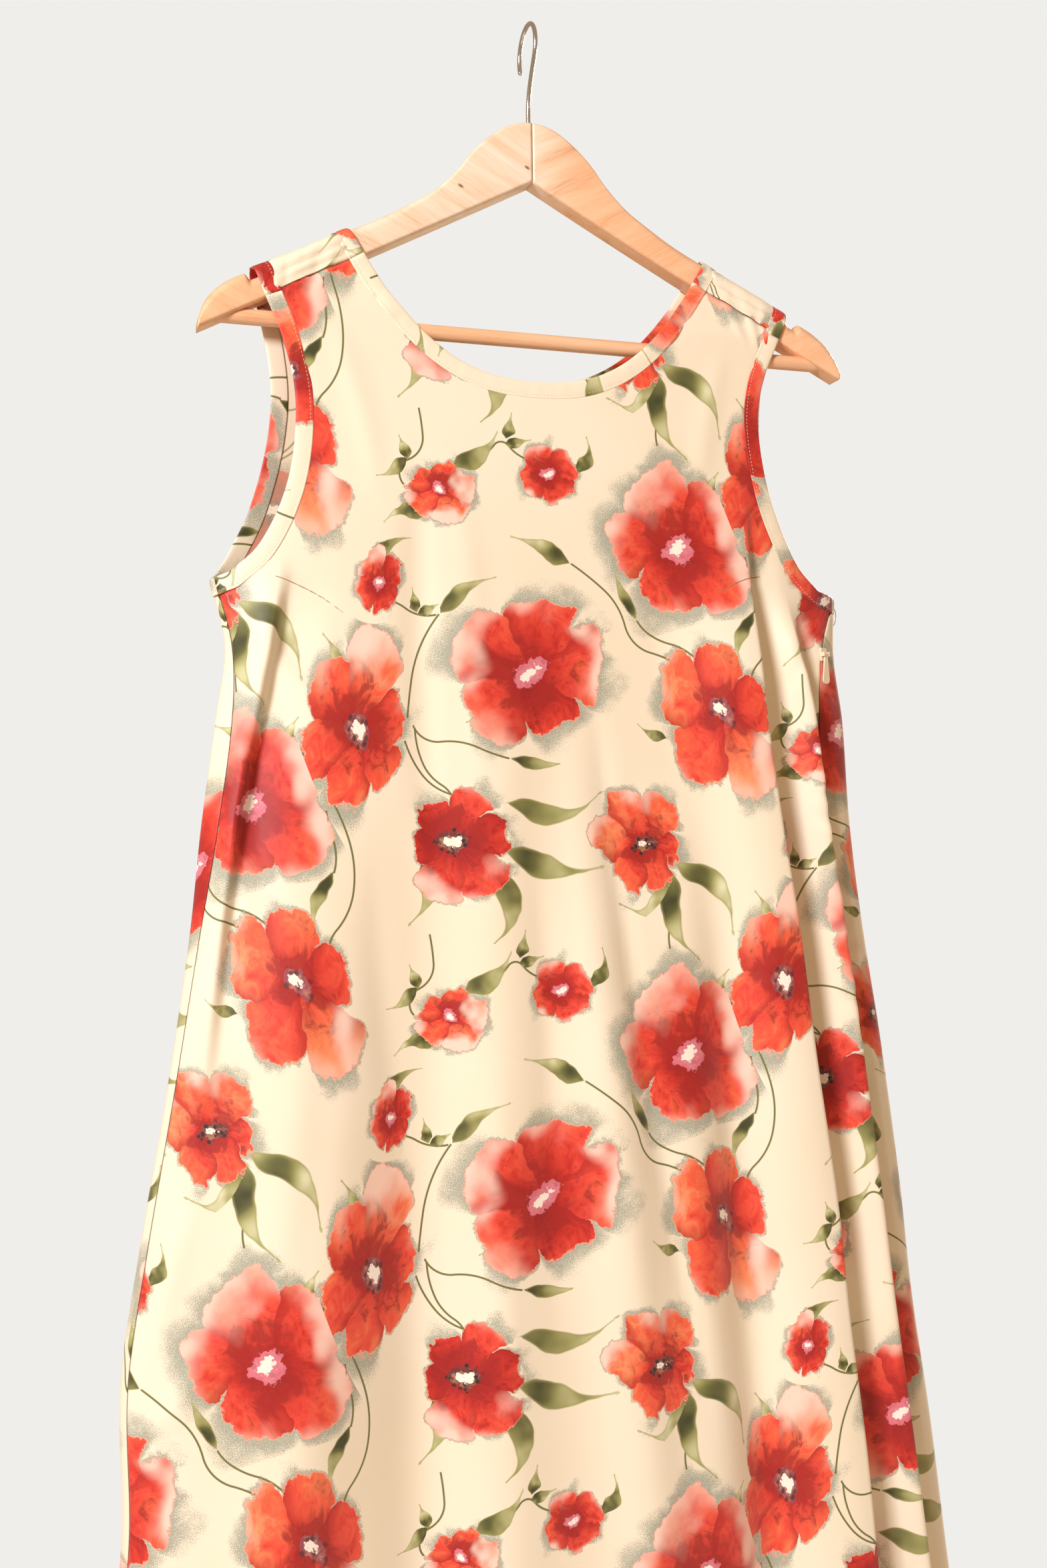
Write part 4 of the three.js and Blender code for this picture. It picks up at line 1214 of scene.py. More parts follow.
    def group(self) -> NodeTree:
        """Builds the whole print as one node group.

        Returns:
            The group, from the cloth's flat coordinates to its colour.
        """
        tree = bpy.data.node_groups.new("half_drop_poppies", "ShaderNodeTree")
        add = partial(add_node, tree)
        tree.interface.new_socket("Cloth", in_out="INPUT", socket_type="NodeSocketVector")
        tree.interface.new_socket("Colour", in_out="OUTPUT", socket_type="NodeSocketColor")
        cloth = add("NodeGroupInput").outputs[0]
        cell = self.cell(tree, cloth)
        tint = add("TexNoise", {"Vector": cloth, "Scale": 9.0, "Detail": 2.0})
        tint = add("MapRange", {0: tint.outputs[0], 1: 0.35, 2: 0.7, 4: 0.35})
        bare = add("Mix", {0: tint, 6: self.ground, 7: self.tint}, **RGBA)
        ground, poppy, share = self.paint_poppies(tree, cell, bare)
        painted = self.paint_stems(tree, cell, ground)
        painted = self.paint_leaves(tree, cell, painted)
        painted = add("Mix", {0: share, 6: painted, 7: poppy}, **RGBA)
        add("NodeGroupOutput", (painted,))
        return tree


# -------- finishes


@dataclass(frozen=True)
class PrintedCrepe:
    """Woven polyester crepe, printed on its right side: a soft satin sheen over a fine twill."""

    roughness: float = 0.52
    sheen: float = 0.2
    specular: float = 0.38
    weave_unit: float = 1.1
    twill_angle: float = 38.0
    wrong_side_fade: float = 0.34

    def side(self, name: str, paint: NodeTree, fade: float) -> Material:
        """One side of the cloth.

        Args:
            name: The material's name.
            paint: The print.
            fade: How far the print is washed out to cream, from 0 to 1.

        Returns:
            The material.
        """
        material, add = new_material(name)
        cloth = add("UVMap", uv_map="cloth")
        drawn = add("Group", (cloth,), node_tree=paint)
        colour = add("Mix", {0: fade, 6: drawn, 7: "#f1e2be"}, **RGBA)
        # The twill's threads lie 0.4 mm apart, too fine to show, so they are drawn 0.7 mm apart.
        diagonal = (0, 0, math.radians(self.twill_angle))
        flat = add("Mapping", {0: cloth, 2: diagonal, 3: (1 / (self.weave_unit * MM),) * 3})
        wavy = {"Vector": flat, "Scale": 0.5, "Distortion": 1.6, "Detail": 2.0, "Detail Scale": 2.0}
        twill = add("TexWave", wavy)
        slub = add("TexNoise", {"Vector": flat, "Scale": 0.9, "Detail": 2.0})
        relief = add("Mix", {0: 0.5, 2: twill.outputs[1], 3: slub.outputs[0]})
        bump = add("Bump", {"Strength": 0.35, "Distance": 0.00012, "Height": relief})
        shader = add(
            "BsdfPrincipled",
            {
                "Base Color": colour,
                "Roughness": self.roughness,
                "Specular IOR Level": self.specular,
                "Sheen Weight": self.sheen,
                "Sheen Roughness": 0.5,
                "Normal": bump,
            },
        )
        add("OutputMaterial", (shader,))
        return material


@dataclass(frozen=True)
class LacqueredBeech:
    """Planed beech under clear satin lacquer: straight grain, short brown flecks, a soft gloss."""

    roughness: float = 0.4
    coat: float = 0.35
    pale: str = "#f9e6d0"
    warm: str = "#f2d0b0"

    def material(self, name: str, slope: float, shade_span: Pair, knots: Sequence[Triple] = ()) -> Material:
        """The wood of one piece.

        Args:
            name: The material's name.
            slope: The way its grain runs, in degrees above +X seen from the front.
            shade_span: The x, in millimetres, where painted shade starts to darken the wood towards orange
                and where it is full.
            knots: The x, z and size of each knot or bark mark, in millimetres.

        Returns:
            The material.
        """
        material, add = new_material(name)
        place = add("TexCoord")
        along = math.radians(slope)
        grain = add("Mapping", {0: place.outputs["Object"], 2: (0, along, 0), 3: (1000, 1000, 1000)})
        long = add("VectorMath", (grain, (0.011, 0.11, 0.11)), operation="MULTIPLY")
        figured = {"Vector": long, "Scale": 1.0, "Detail": 4.0, "Roughness": 0.55, "Distortion": 0.4}
        figure = add("TexNoise", figured)
        fine = add("VectorMath", (grain, (0.05, 1.3, 1.3)), operation="MULTIPLY")
        streak = add("TexNoise", {"Vector": fine, "Scale": 1.0, "Detail": 3.0, "Roughness": 0.6})
        # Beech flecks are 2 mm long and 0.3 mm wide.
        fleck = add("VectorMath", (grain, (0.35, 1.8, 1.8)), operation="MULTIPLY")
        fleck = add("TexVoronoi", {"Vector": fleck, "Scale": 1.0, "Randomness": 1.0})
        fleck = add("MapRange", {0: fleck.outputs[0], 1: 0.22, 2: 0.05, 4: 0.35}, **EASED)
        tone = add("Math", (streak.outputs[0], 0.45, figure.outputs[0]), operation="MULTIPLY_ADD")
        tone = add("Math", (tone, 0.22), operation="SUBTRACT")
        woods = ((0.2, "#dcab80"), (0.38, self.warm), (0.55, "#f6dbbf"), (0.75, self.pale))
        colour = add("ValToRGB", (tone,), stops=woods)
        colour = add("Mix", {0: fleck, 6: colour, 7: "#c28c60"}, **RGBA)
        # Painted shade: between the two given x the wood is multiplied towards orange, standing for the
        # lesser light on the left arm's tip, the right arm and the bar.
        across = add("SeparateXYZ", (place.outputs["Object"],))
        turned = add("MapRange", (across, shade_span[0] * MM, shade_span[1] * MM), **EASED)
        colour = add("Mix", {0: turned, 6: colour, 7: "#fcdec6"}, **RGBA, blend_type="MULTIPLY")
        for x, z, size in knots:
            at, span = (x * MM, 0, z * MM), (size * 2 * MM, 1, size * MM)
            own = add("Mapping", (place.outputs["Object"], at, (0, -along, 0), span), vector_type="TEXTURE")
            away = add("VectorMath", (own,), operation="LENGTH")
            away = add("Math", (streak.outputs[0], 0.5, away), operation="MULTIPLY_ADD")
            mark = add("MapRange", {0: away, 1: 1.2, 2: 0.5, 4: 0.85}, **EASED)
            colour = add("Mix", {0: mark, 6: colour, 7: "#6b4429"}, **RGBA)
        bump = add("Bump", {"Strength": 0.3, "Distance": 0.0001, "Height": streak.outputs[0]})
        shader = add(
            "BsdfPrincipled",
            {
                "Base Color": colour,
                "Roughness": self.roughness,
                "Coat Weight": self.coat,
                "Coat Roughness": 0.2,
                "Normal": bump,
            },
        )
        add("OutputMaterial", (shader,))
        return material


@dataclass(frozen=True)
class PlatedWire:
    """Bright chrome plate on drawn steel wire: mirror-like, with faint drawing lines along it."""

    colour: str = "#d7d8da"

    def material(self) -> Material:
        """The plated wire."""
        material, add = new_material("chrome_plated_wire")
        place = add("TexCoord")
        lines = add("Mapping", {0: place.outputs["Object"], 3: (4000, 4000, 300)})
        lines = add("TexNoise", {"Vector": lines, "Scale": 1.0, "Detail": 2.0})
        rough = add("MapRange", (lines.outputs[0], 0.3, 0.7, 0.1, 0.22))
        shader = add("BsdfPrincipled", {"Base Color": self.colour, "Metallic": 1.0, "Roughness": rough})
        add("OutputMaterial", (shader,))
        return material


@dataclass(frozen=True)
class DyedNylon:
    """Moulded nylon dyed cream: an even colour with a low, slightly mottled gloss."""

    colour: str = "#f1e2c6"

    def material(self) -> Material:
        """The nylon of the slider and its pull."""
        material, add = new_material("dyed_cream_nylon")
        place = add("TexCoord")
        mottle = add("TexNoise", {"Vector": place.outputs["Object"], "Scale": 900.0, "Detail": 2.0})
        rough = add("MapRange", (mottle.outputs[0], 0.3, 0.7, 0.3, 0.42))
        shade = add("Mix", {0: mottle.outputs[0], 6: self.colour, 7: "#e5d2b0"}, **RGBA)
        shader = add("BsdfPrincipled", {"Base Color": shade, "Roughness": rough, "IOR": 1.53})
        add("OutputMaterial", (shader,))
        return material


@dataclass(frozen=True)
class SewingThread:
    """Spun polyester thread, two-ply: matt, with a slanting twist."""

    colour: str = "#f3e6cd"
    shade: str = "#d9c5a0"

    def material(self, name: str) -> Material:
        """The thread of some seams or stitches.

        Args:
            name: The material's name.

        Returns:
            The material.
        """
        material, add = new_material(name)
        place = add("TexCoord")
        # The twist turns once in 0.5 mm.
        twist = add("Mapping", {0: place.outputs["Object"], 2: (0.5, 0.6, 0.4), 3: (1250, 1250, 1250)})
        twist = add("TexWave", {"Vector": twist, "Scale": 0.5, "Distortion": 0.5})
        shade = add("Mix", {0: twist.outputs[1], 6: self.colour, 7: self.shade}, **RGBA)
        shader = add("BsdfPrincipled", {"Base Color": shade, "Roughness": 0.8, "Sheen Weight": 0.3})
        add("OutputMaterial", (shader,))
        return material


# -------- the creases, given one by one


# x and z of the start, x and z of the end, width, height, bend
FRONT_CREASES = (
    # Darts, whose stitched lines pull a shallow valley from each armhole.
    (-176, -381, -134, -405, 3.0, -1.2, 2),
    (158, -370, 122, -381, 3.0, -1.2, -2),
    # Small wrinkles where the straps turn over the hanger.
    (-136, -158, -150, -200, 3.4, 1.9, 2),
    (-148, -164, -160, -206, 3.0, 1.7, -1),
    (-160, -172, -168, -204, 3.0, 1.9, 1),
    (-172, -178, -176, -206, 2.6, 1.5, 0),
    (132, -160, 150, -206, 3.6, 1.5, -2),
    (148, -168, 160, -212, 3.2, 1.4, 1),
    (164, -178, 168, -214, 2.8, 1.2, 0),
    # Drag lines below the straps and off the armholes.
    (-140, -215, -112, -330, 9.0, 1.3, 4),
    (134, -215, 112, -320, 9.0, 1.2, -4),
    (-196, -392, -150, -470, 8.0, 2.2, -5),
    (-205, -420, -190, -560, 7.0, -2.0, 4),
    (-212, -520, -196, -640, 8.0, 1.8, 3),
    (196, -392, 172, -452, 6.0, -1.8, 3),
    (206, -400, 198, -470, 4.5, 1.6, 2),
    (172, -470, 184, -590, 7.0, 1.5, -3),
    # Slow swells in the body of the skirt.
    (-84, -300, -80, -560, 13.0, -3.4, -4),
    (-58, -320, -50, -520, 11.0, 1.6, 3),
    (31, -450, 104, -960, 8.0, -3.4, -6),
    (14, -470, 60, -900, 13.0, 2.0, -5),
    (-12, -560, -6, -860, 10.0, -1.8, 4),
    (84, -500, 112, -800, 12.0, 2.0, 5),
    (-118, -560, -100, -760, 11.0, -1.8, -5),
    (56, -640, 74, -820, 7.0, 1.3, 3),
    (-40, -700, -34, -960, 9.0, 1.6, -4),
    (-150, -640, -196, -960, 14.0, -2.2, 6),
    (-200, -830, -262, -905, 12.0, 2.4, 4),
    (-230, -760, -268, -880, 10.0, 1.8, -3),
)
# The back hangs in like ways.
BACK_CREASES = (
    (-140, -166, -128, -240, 6.0, 1.2, 3),
    (138, -166, 124, -236, 6.0, 1.1, -3),
    (-178, -392, -120, -470, 9.0, 2.2, 5),
    (182, -392, 116, -480, 9.0, 2.0, -5),
    (-100, -300, -60, -420, 12.0, 1.4, 4),
    (88, -290, 62, -430, 12.0, 1.5, -4),
    (-30, -480, -50, -820, 15.0, 2.2, 6),
    (40, -520, 58, -860, 16.0, -2.0, -6),
    (150, -560, 206, -900, 14.0, 2.4, 5),
    (-168, -600, -226, -940, 13.0, 2.0, -5),
)
CREASES = tuple(
    Crease(side, row[:2], row[2:4], *row[4:])
    for side, rows in ((Side.FRONT, FRONT_CREASES), (Side.BACK, BACK_CREASES))
    for row in rows
)
DARTS = (
    ((-178, -382), (-166, -386), (-150, -394), (-136, -404)),
    ((158, -371), (148, -373), (134, -378), (122, -384)),
)


def dart_lines(form: DressForm) -> list[Array]:
    """The stitched line of the bust dart below each armhole."""
    lines = []
    for knots in DARTS:
        x, z = through(knots, 1.5).T
        lines.append(form.body(form.ring_at(x, z), z) + np.array([0, -0.08, 0]))
    return lines


def hem_line(form: DressForm) -> Array:
    """The line of stitches that holds the hem's turning, all round the skirt."""
    ring = np.linspace(-1, 3, 700)
    z = np.full(700, form.hem_z + form.hem_turning)
    points = form.body(ring, z)
    ahead = unit(np.gradient(points, axis=0))
    out = np.stack([ahead[:, 1], -ahead[:, 0], 0 * z], axis=1)
    return points + 0.15 * out


# -------- stitches


@dataclass
class Stitching:
    """Lines of stitches: short thread capsules laid along a seam by Geometry Nodes."""

    pitch: float = 2.5
    length: float = 1.9
    thread: float = 0.34
    seed: int = 7

    def tree(self) -> NodeTree:
        """Builds the stitch tree.

        Returns:
            The tree, with named inputs for its sizes.
        """
        tree = bpy.data.node_groups.new("row_of_stitches", "GeometryNodeTree")
        add = partial(add_node, tree)
        sizes = {"Pitch": "Float", "Length": "Float", "Thread": "Float", "Seed": "Int"}
        for name, kind in ({"Seam": "Geometry"} | sizes | {"Finish": "Material"}).items():
            tree.interface.new_socket(name, in_out="INPUT", socket_type=f"NodeSocket{kind}")
        tree.interface.new_socket("Stitches", in_out="OUTPUT", socket_type="NodeSocketGeometry")
        given = add("NodeGroupInput").outputs
        seam = add("GeometryNodeMeshToCurve", {"Mesh": given["Seam"]})
        places = add("GeometryNodeCurveToPoints", {"Curve": seam, "Length": given["Pitch"]}, mode="LENGTH")
        capsule = add("GeometryNodeMeshIcoSphere", {"Radius": 0.5, "Subdivisions": 1})
        size = add("CombineXYZ", (given["Thread"], given["Thread"], given["Length"]))
        shaped = add("GeometryNodeTransform", {"Geometry": capsule.outputs[0], "Scale": size})
        uneven = add(
            "FunctionNodeRandomValue",
            {0: (0.9, 0.9, 0.85), 1: (1.08, 1.08, 1.05), "Seed": given["Seed"]},
            data_type="FLOAT_VECTOR",
        )
        laid = add(
            "GeometryNodeInstanceOnPoints",
            {
                "Points": places.outputs["Points"],
                "Instance": shaped,
                "Rotation": places.outputs["Rotation"],
                "Scale": uneven,
            },
        )
        whole = add("GeometryNodeRealizeInstances", {"Geometry": laid})
        rounded = add("GeometryNodeSetShadeSmooth", {"Geometry": whole})
        dressed = add("GeometryNodeSetMaterial", {"Geometry": rounded, "Material": given["Finish"]})
        add("NodeGroupOutput", (dressed,))
        return tree

    def row(self, name: str, lines: Sequence[Array], tree: NodeTree, thread: Material) -> Object:
        """Sews one or more lines as one piece.

        Args:
            name: The piece's name.
            lines: Each line's points, in millimetres.
            tree: The stitch tree.
            thread: The thread's finish.

        Returns:
            The stitches as mesh.
        """
        mesh = bpy.data.meshes.new(name)
        points, edges = [], []
        for line in lines:
            first = len(points)
            points += (line * MM).tolist()
            edges += [(first + i, first + i + 1) for i in range(len(line) - 1)]
        mesh.from_pydata(points, edges, [])
        obj = placed(name, mesh)
        sewn = obj.modifiers.new("stitches", "NODES")
        sewn.node_group = tree
        values = {"Pitch": self.pitch * MM, "Length": self.length * MM, "Thread": self.thread * MM}
        values |= {"Seed": self.seed, "Finish": thread}
        for socket in tree.interface.items_tree:
            if socket.in_out == "INPUT" and socket.name in values:
                sewn[socket.identifier] = values[socket.name]
        return baked(obj)


# -------- the dress


@dataclass
class Panel:
    """What both panels share: rows that rise from the hem, and the cut along the open edges."""

    form: DressForm
    edges: Sequence[Edge]
    wall: float = 0.6
    under_band: float = 3.0
    band: float = 11.0
    sink: float = 0.25
    groove: float = 0.8
    side_hem: float = 2.5
    under_arm: float = 14.0
    row_counts: tuple[int, ...] = (8, 62, 62, 78)

    def skirt_rows(self) -> Array:
        """The heights of the rows from the hem to just under the arms."""
        hem, turned = self.form.hem_z, self.form.hem_z + self.form.hem_turning
        return spread([hem, turned, -1000, -700, self.form.underarm_z - self.under_arm], self.row_counts)

    def seam_rings(self, column: str, z: Array) -> tuple[Array, Array]:
        """The ring coordinate of one side seam, and how many millimetres one unit of it spans."""
        form = self.form
        low = np.minimum(z, form.underarm_z)
        x = form.column(column, low) * (-1 if column == "seamL" else 1)
        ring = form.ring_at(x, low)
        speed = np.linalg.norm(form.body(ring + 0.002, z) - form.body(ring, z), axis=-1) / 0.002
        return ring, speed

    def edge_distance(self, points: Array) -> Array:
        """How far points lie inside the cloth from the nearest open edge.

        Args:
            points: Points of the panel, one a row.

        Returns:
            The distances in millimetres, or 1000 far below the arms.
        """
        line = np.concatenate([edge.points for edge in self.edges])
        inward = np.concatenate([edge.inward for edge in self.edges])
        distance = np.full(len(points), 1e3)
        near = np.flatnonzero(points[:, 2] > self.form.underarm_z - 60)
        for chunk in np.array_split(near, max(1, len(near) // 2000)):
            gap = points[chunk, None, :] - line[None]
            closest = np.argmin((gap**2).sum(axis=-1), axis=1)
            distance[chunk] = (gap[np.arange(len(chunk)), closest] * inward[closest]).sum(axis=-1)
        return distance

    def finish(self, name: str, points: Array, uv: Array, outer: Material, inner: Material) -> Object:
        """Cuts a grid along the open edges, sinks it under the bindings and gives it its wall.

        Args:
            name: The panel's name.
            points: The grid, rows by columns by 3.
            uv: The cloth's flat coordinates of the same grid.
            outer: The right side's finish.
            inner: The wrong side's finish.

        Returns:
            The finished panel.
        """
        rows, columns = points.shape[:2]
        normal = np.cross(np.gradient(points, axis=1), np.gradient(points, axis=0))
        flat, normal = points.reshape(-1, 3), unit(normal).reshape(-1, 3)
        distance = self.edge_distance(flat)
        flat = flat - normal * (self.sink * (1 - smooth(self.band - 1, self.band + 1.5, distance)))[:, None]
        faces = grid_faces(rows, columns)
        faces = faces[(distance[faces] > self.under_band).all(axis=1)]
        used, numbers = np.unique(faces, return_inverse=True)
        sheet = mesh_object(name, flat[used], numbers.reshape(faces.shape), uv.reshape(-1, 2)[used])
        return walled(sheet, self.wall, outer, inner)


@dataclass
class FrontPanel(Panel):
    """The front: one piece from the shoulder seams to the hem, with a dart at each armhole."""

    counts: tuple[int, ...] = (3, 8, 6, 82, 7, 8, 12, 6, 3)
    chest_z: float = -240.0

    def grid(self) -> tuple[Array, Array]:
        """Lays out the panel's grid.

        Returns:
            Its points in millimetres and the cloth's flat coordinates in metres.
        """
        form = self.form
        bodice = spread([form.underarm_z - self.under_arm, self.chest_z], [54])
        z = np.concatenate([self.skirt_rows(), bodice[1:]])
        left, left_speed = self.seam_rings("seamL", z)
        right, right_speed = self.seam_rings("seamR", z)
        gap, hem = form.seam_gap / 2, self.side_hem
        fold, ridge = form.column("foldL", z), form.column("ridge", z)
        lines = [-fold, -fold + 9, ridge - 14, ridge, ridge + 9, form.column("flank", z)]
        stops = [left + gap / left_speed, left + hem / left_speed]
        stops += [form.ring_at(x, z) for x in lines]
        stops += [right - hem / right_speed, right - gap / right_speed]
        ring = spread(stops, self.counts).T
        sunk = self.groove * np.exp(-np.arange(4) * 1.1)
        points = form.body(ring, z[:, None])
        points[:, :4, 1] += sunk
        points[:, -4:, 1] += sunk[::-1]
        top = ring[-1]
        x = points[-1, :, 0]
        for share in spread([0, 1], [26])[1:]:
            height = mix(self.chest_z, form.seam_z(x) - form.seam_gap, share)
            row = form.body(top, height)
            row[:, 1] += self.groove * smooth(0.93, 1.0, float(share))
            points = np.concatenate([points, row[None]])
        across = travelled(points, axis=1)
        middle = np.array([np.interp(0, row[:, 0], s) for row, s in zip(points, across)])
        uv = np.stack([across - middle[:, None], points[:, :, 2]], axis=2) * MM
        return points, uv

    def build(self, crepe: tuple[Material, Material]) -> Object:
        """Makes the panel, cut along the open edges, in place of the imported solid.

        Args:
            crepe: The right and wrong sides' finishes.

        Returns:
            The panel.
        """
        points, uv = self.grid()
        panel = self.finish("crepe_front_panel", points, uv, *crepe)
        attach(panel, BODY)
        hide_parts("dress_front")
        return panel


@dataclass
class BackPanel(Panel):
    """The back: one piece that wraps both sides and runs over the shoulders to the front."""

    counts: tuple[int, ...] = (3, 10, 8, 88, 8, 10, 3)
    print_shift: Pair = (48.0, 294.0)
    ruck: float = 0.7

    def grid(self) -> tuple[Array, Array]:
        """Lays out the panel's grid.

        Returns:
            Its points in millimetres and the cloth's flat coordinates in metres.
        """
        form = self.form
        low = self.skirt_rows()
        high = form.underarm_z + np.array([-10, -5, 0])
        z = np.concatenate([low, high])
        right, right_speed = self.seam_rings("seamR", z)
        left, left_speed = self.seam_rings("seamL", z)
        lift = smooth(form.underarm_z - self.under_arm, form.underarm_z, z)
        right, left = mix(right, 1.01, lift), mix(left + 4, 2.99, lift)
        gap, hem = form.seam_gap / 2, self.side_hem
        stops = [right + gap / right_speed, right + hem / right_speed, mix(1.06, 1.08, lift), 1.25 + 0 * z]
        stops += [2.75 + 0 * z, mix(2.94, 2.92, lift), left - hem / left_speed, left - gap / left_speed]
        ring = spread(stops, self.counts).T
        points = form.body(ring, z[:, None])
        sunk = self.groove * np.exp(-np.arange(4) * 1.1)
        shade = (1 - lift)[:, None]
        points[:, :4, 1] += sunk * shade
        points[:, -4:, 1] += sunk[::-1] * shade
        top, x = ring[-1], points[-1, :, 0]
        start = form.shoulder(x) - form.bend
        rows = []
        for share in spread([0, 1], [52])[1:]:
            rows.append(form.body(top, mix(form.underarm_z, start, float(share))))
        flap = form.flap / form.bend
        for along in spread([0, 1, flap - 0.12, flap], [14, 6, 2])[1:]:
            row = form.strap(x, float(along))
            row[:, 1] += self.groove * smooth(flap - 0.2, flap, float(along))
            within = smooth(122, 134, np.abs(x)) * (1 - smooth(164, 176, np.abs(x)))
            row[:, 1:] += (self.ruck * within * np.sin(along * 9 + x / 23))[:, None] * (-1, 0.4)
            rows.append(row)
        points = np.concatenate([points, np.array(rows)])
        across = travelled(points, axis=1)
        middle = np.array([np.interp(0, -row[:, 0], s) for row, s in zip(points, across)])
        rise = np.linalg.norm(np.diff(points[len(z) - 1 :], axis=0), axis=2)
        up = points[:, :, 2].copy()
        up[len(z) :] = up[len(z) - 1] + np.cumsum(rise, axis=0)
        uv = np.stack([across - middle[:, None] + self.print_shift[0], up + self.print_shift[1]], axis=2) * MM
        return points, uv

    def build(self, crepe: tuple[Material, Material]) -> Object:
        """Makes the panel, cut along the open edges, in place of the imported solid.

        Args:
            crepe: The right and wrong sides' finishes.

        Returns:
            The panel.
        """
        points, uv = self.grid()
        panel = self.finish("crepe_back_panel", points, uv, *crepe)
        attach(panel, BODY)
        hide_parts("dress_back")
        return panel


@dataclass
class Binding:
    """A self binding folded over an open edge: 11 mm shows on the right side and 11 mm inside."""

    form: DressForm
    leaf: float = 0.36
    stitch_depth: float = 9.2
    stitch_height: float = 0.34
    # how deep into the panel and how far off its face, from the outer fold to the inner one
    profile: tuple[Pair, ...] = (
        (11.3, 0.02), (11.1, 0.22), (10.5, 0.36), (9.9, 0.36), (9.2, 0.26), (8.4, 0.38), (6.5, 0.48),
        (4.0, 0.5), (2.0, 0.44), (0.8, 0.26), (0.15, -0.06), (0.0, -0.5), (0.2, -0.94), (0.9, -1.22),
        (3.0, -1.32), (7.0, -1.34), (10.3, -1.32), (11.1, -1.26),
    )

    def fold(self, name: str, node: str, edge: Edge, crepe: tuple[Material, Material], shift: Pair) -> Object:
        """Folds one length of binding over an edge.

        Args:
            name: The piece's name.
            node: The solid that it stands for.
            edge: The line it covers.
            crepe: The right and wrong sides' finishes.
            shift: Where in the print it was cut, in millimetres.

        Returns:
            The binding.
        """
        depth, height = np.array(self.profile).T
        lengths = travelled(edge.points)
        ruck = 0.1 * np.sin(lengths / 1.9) * np.sin(lengths / 7.3 + 1.0)
        flat = np.ones(len(lengths))
        folded = [edge.offset(d * flat, h + ruck * (h > 0.3)) for d, h in zip(depth, height)]
        points = np.stack(folded, axis=1)
        round_edge = travelled(np.array(self.profile))
        cut = np.broadcast_arrays(lengths[:, None] + shift[0], -round_edge[None, :] + shift[1])
        uv = np.stack(cut, axis=2)
        face = np.cross(-edge.inward, np.gradient(edge.points, axis=0))
        if (face * edge.outward).sum() <= 0:
            points, uv = points[::-1], uv[::-1]
        faces = grid_faces(*points.shape[:2])
        ribbon = mesh_object(name, points.reshape(-1, 3), faces, uv.reshape(-1, 2) * MM)
        walled(ribbon, self.leaf, *crepe)
        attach(ribbon, BODY)
        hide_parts(node)
        return ribbon

    def topstitch(self, edge: Edge) -> Array:
        """The line of stitches that holds the binding down."""
        row = edge.part(slice(1, -1))
        flat = np.ones(len(row.points))
        return row.offset(self.stitch_depth * flat, self.stitch_height * flat)


# -------- the hanger


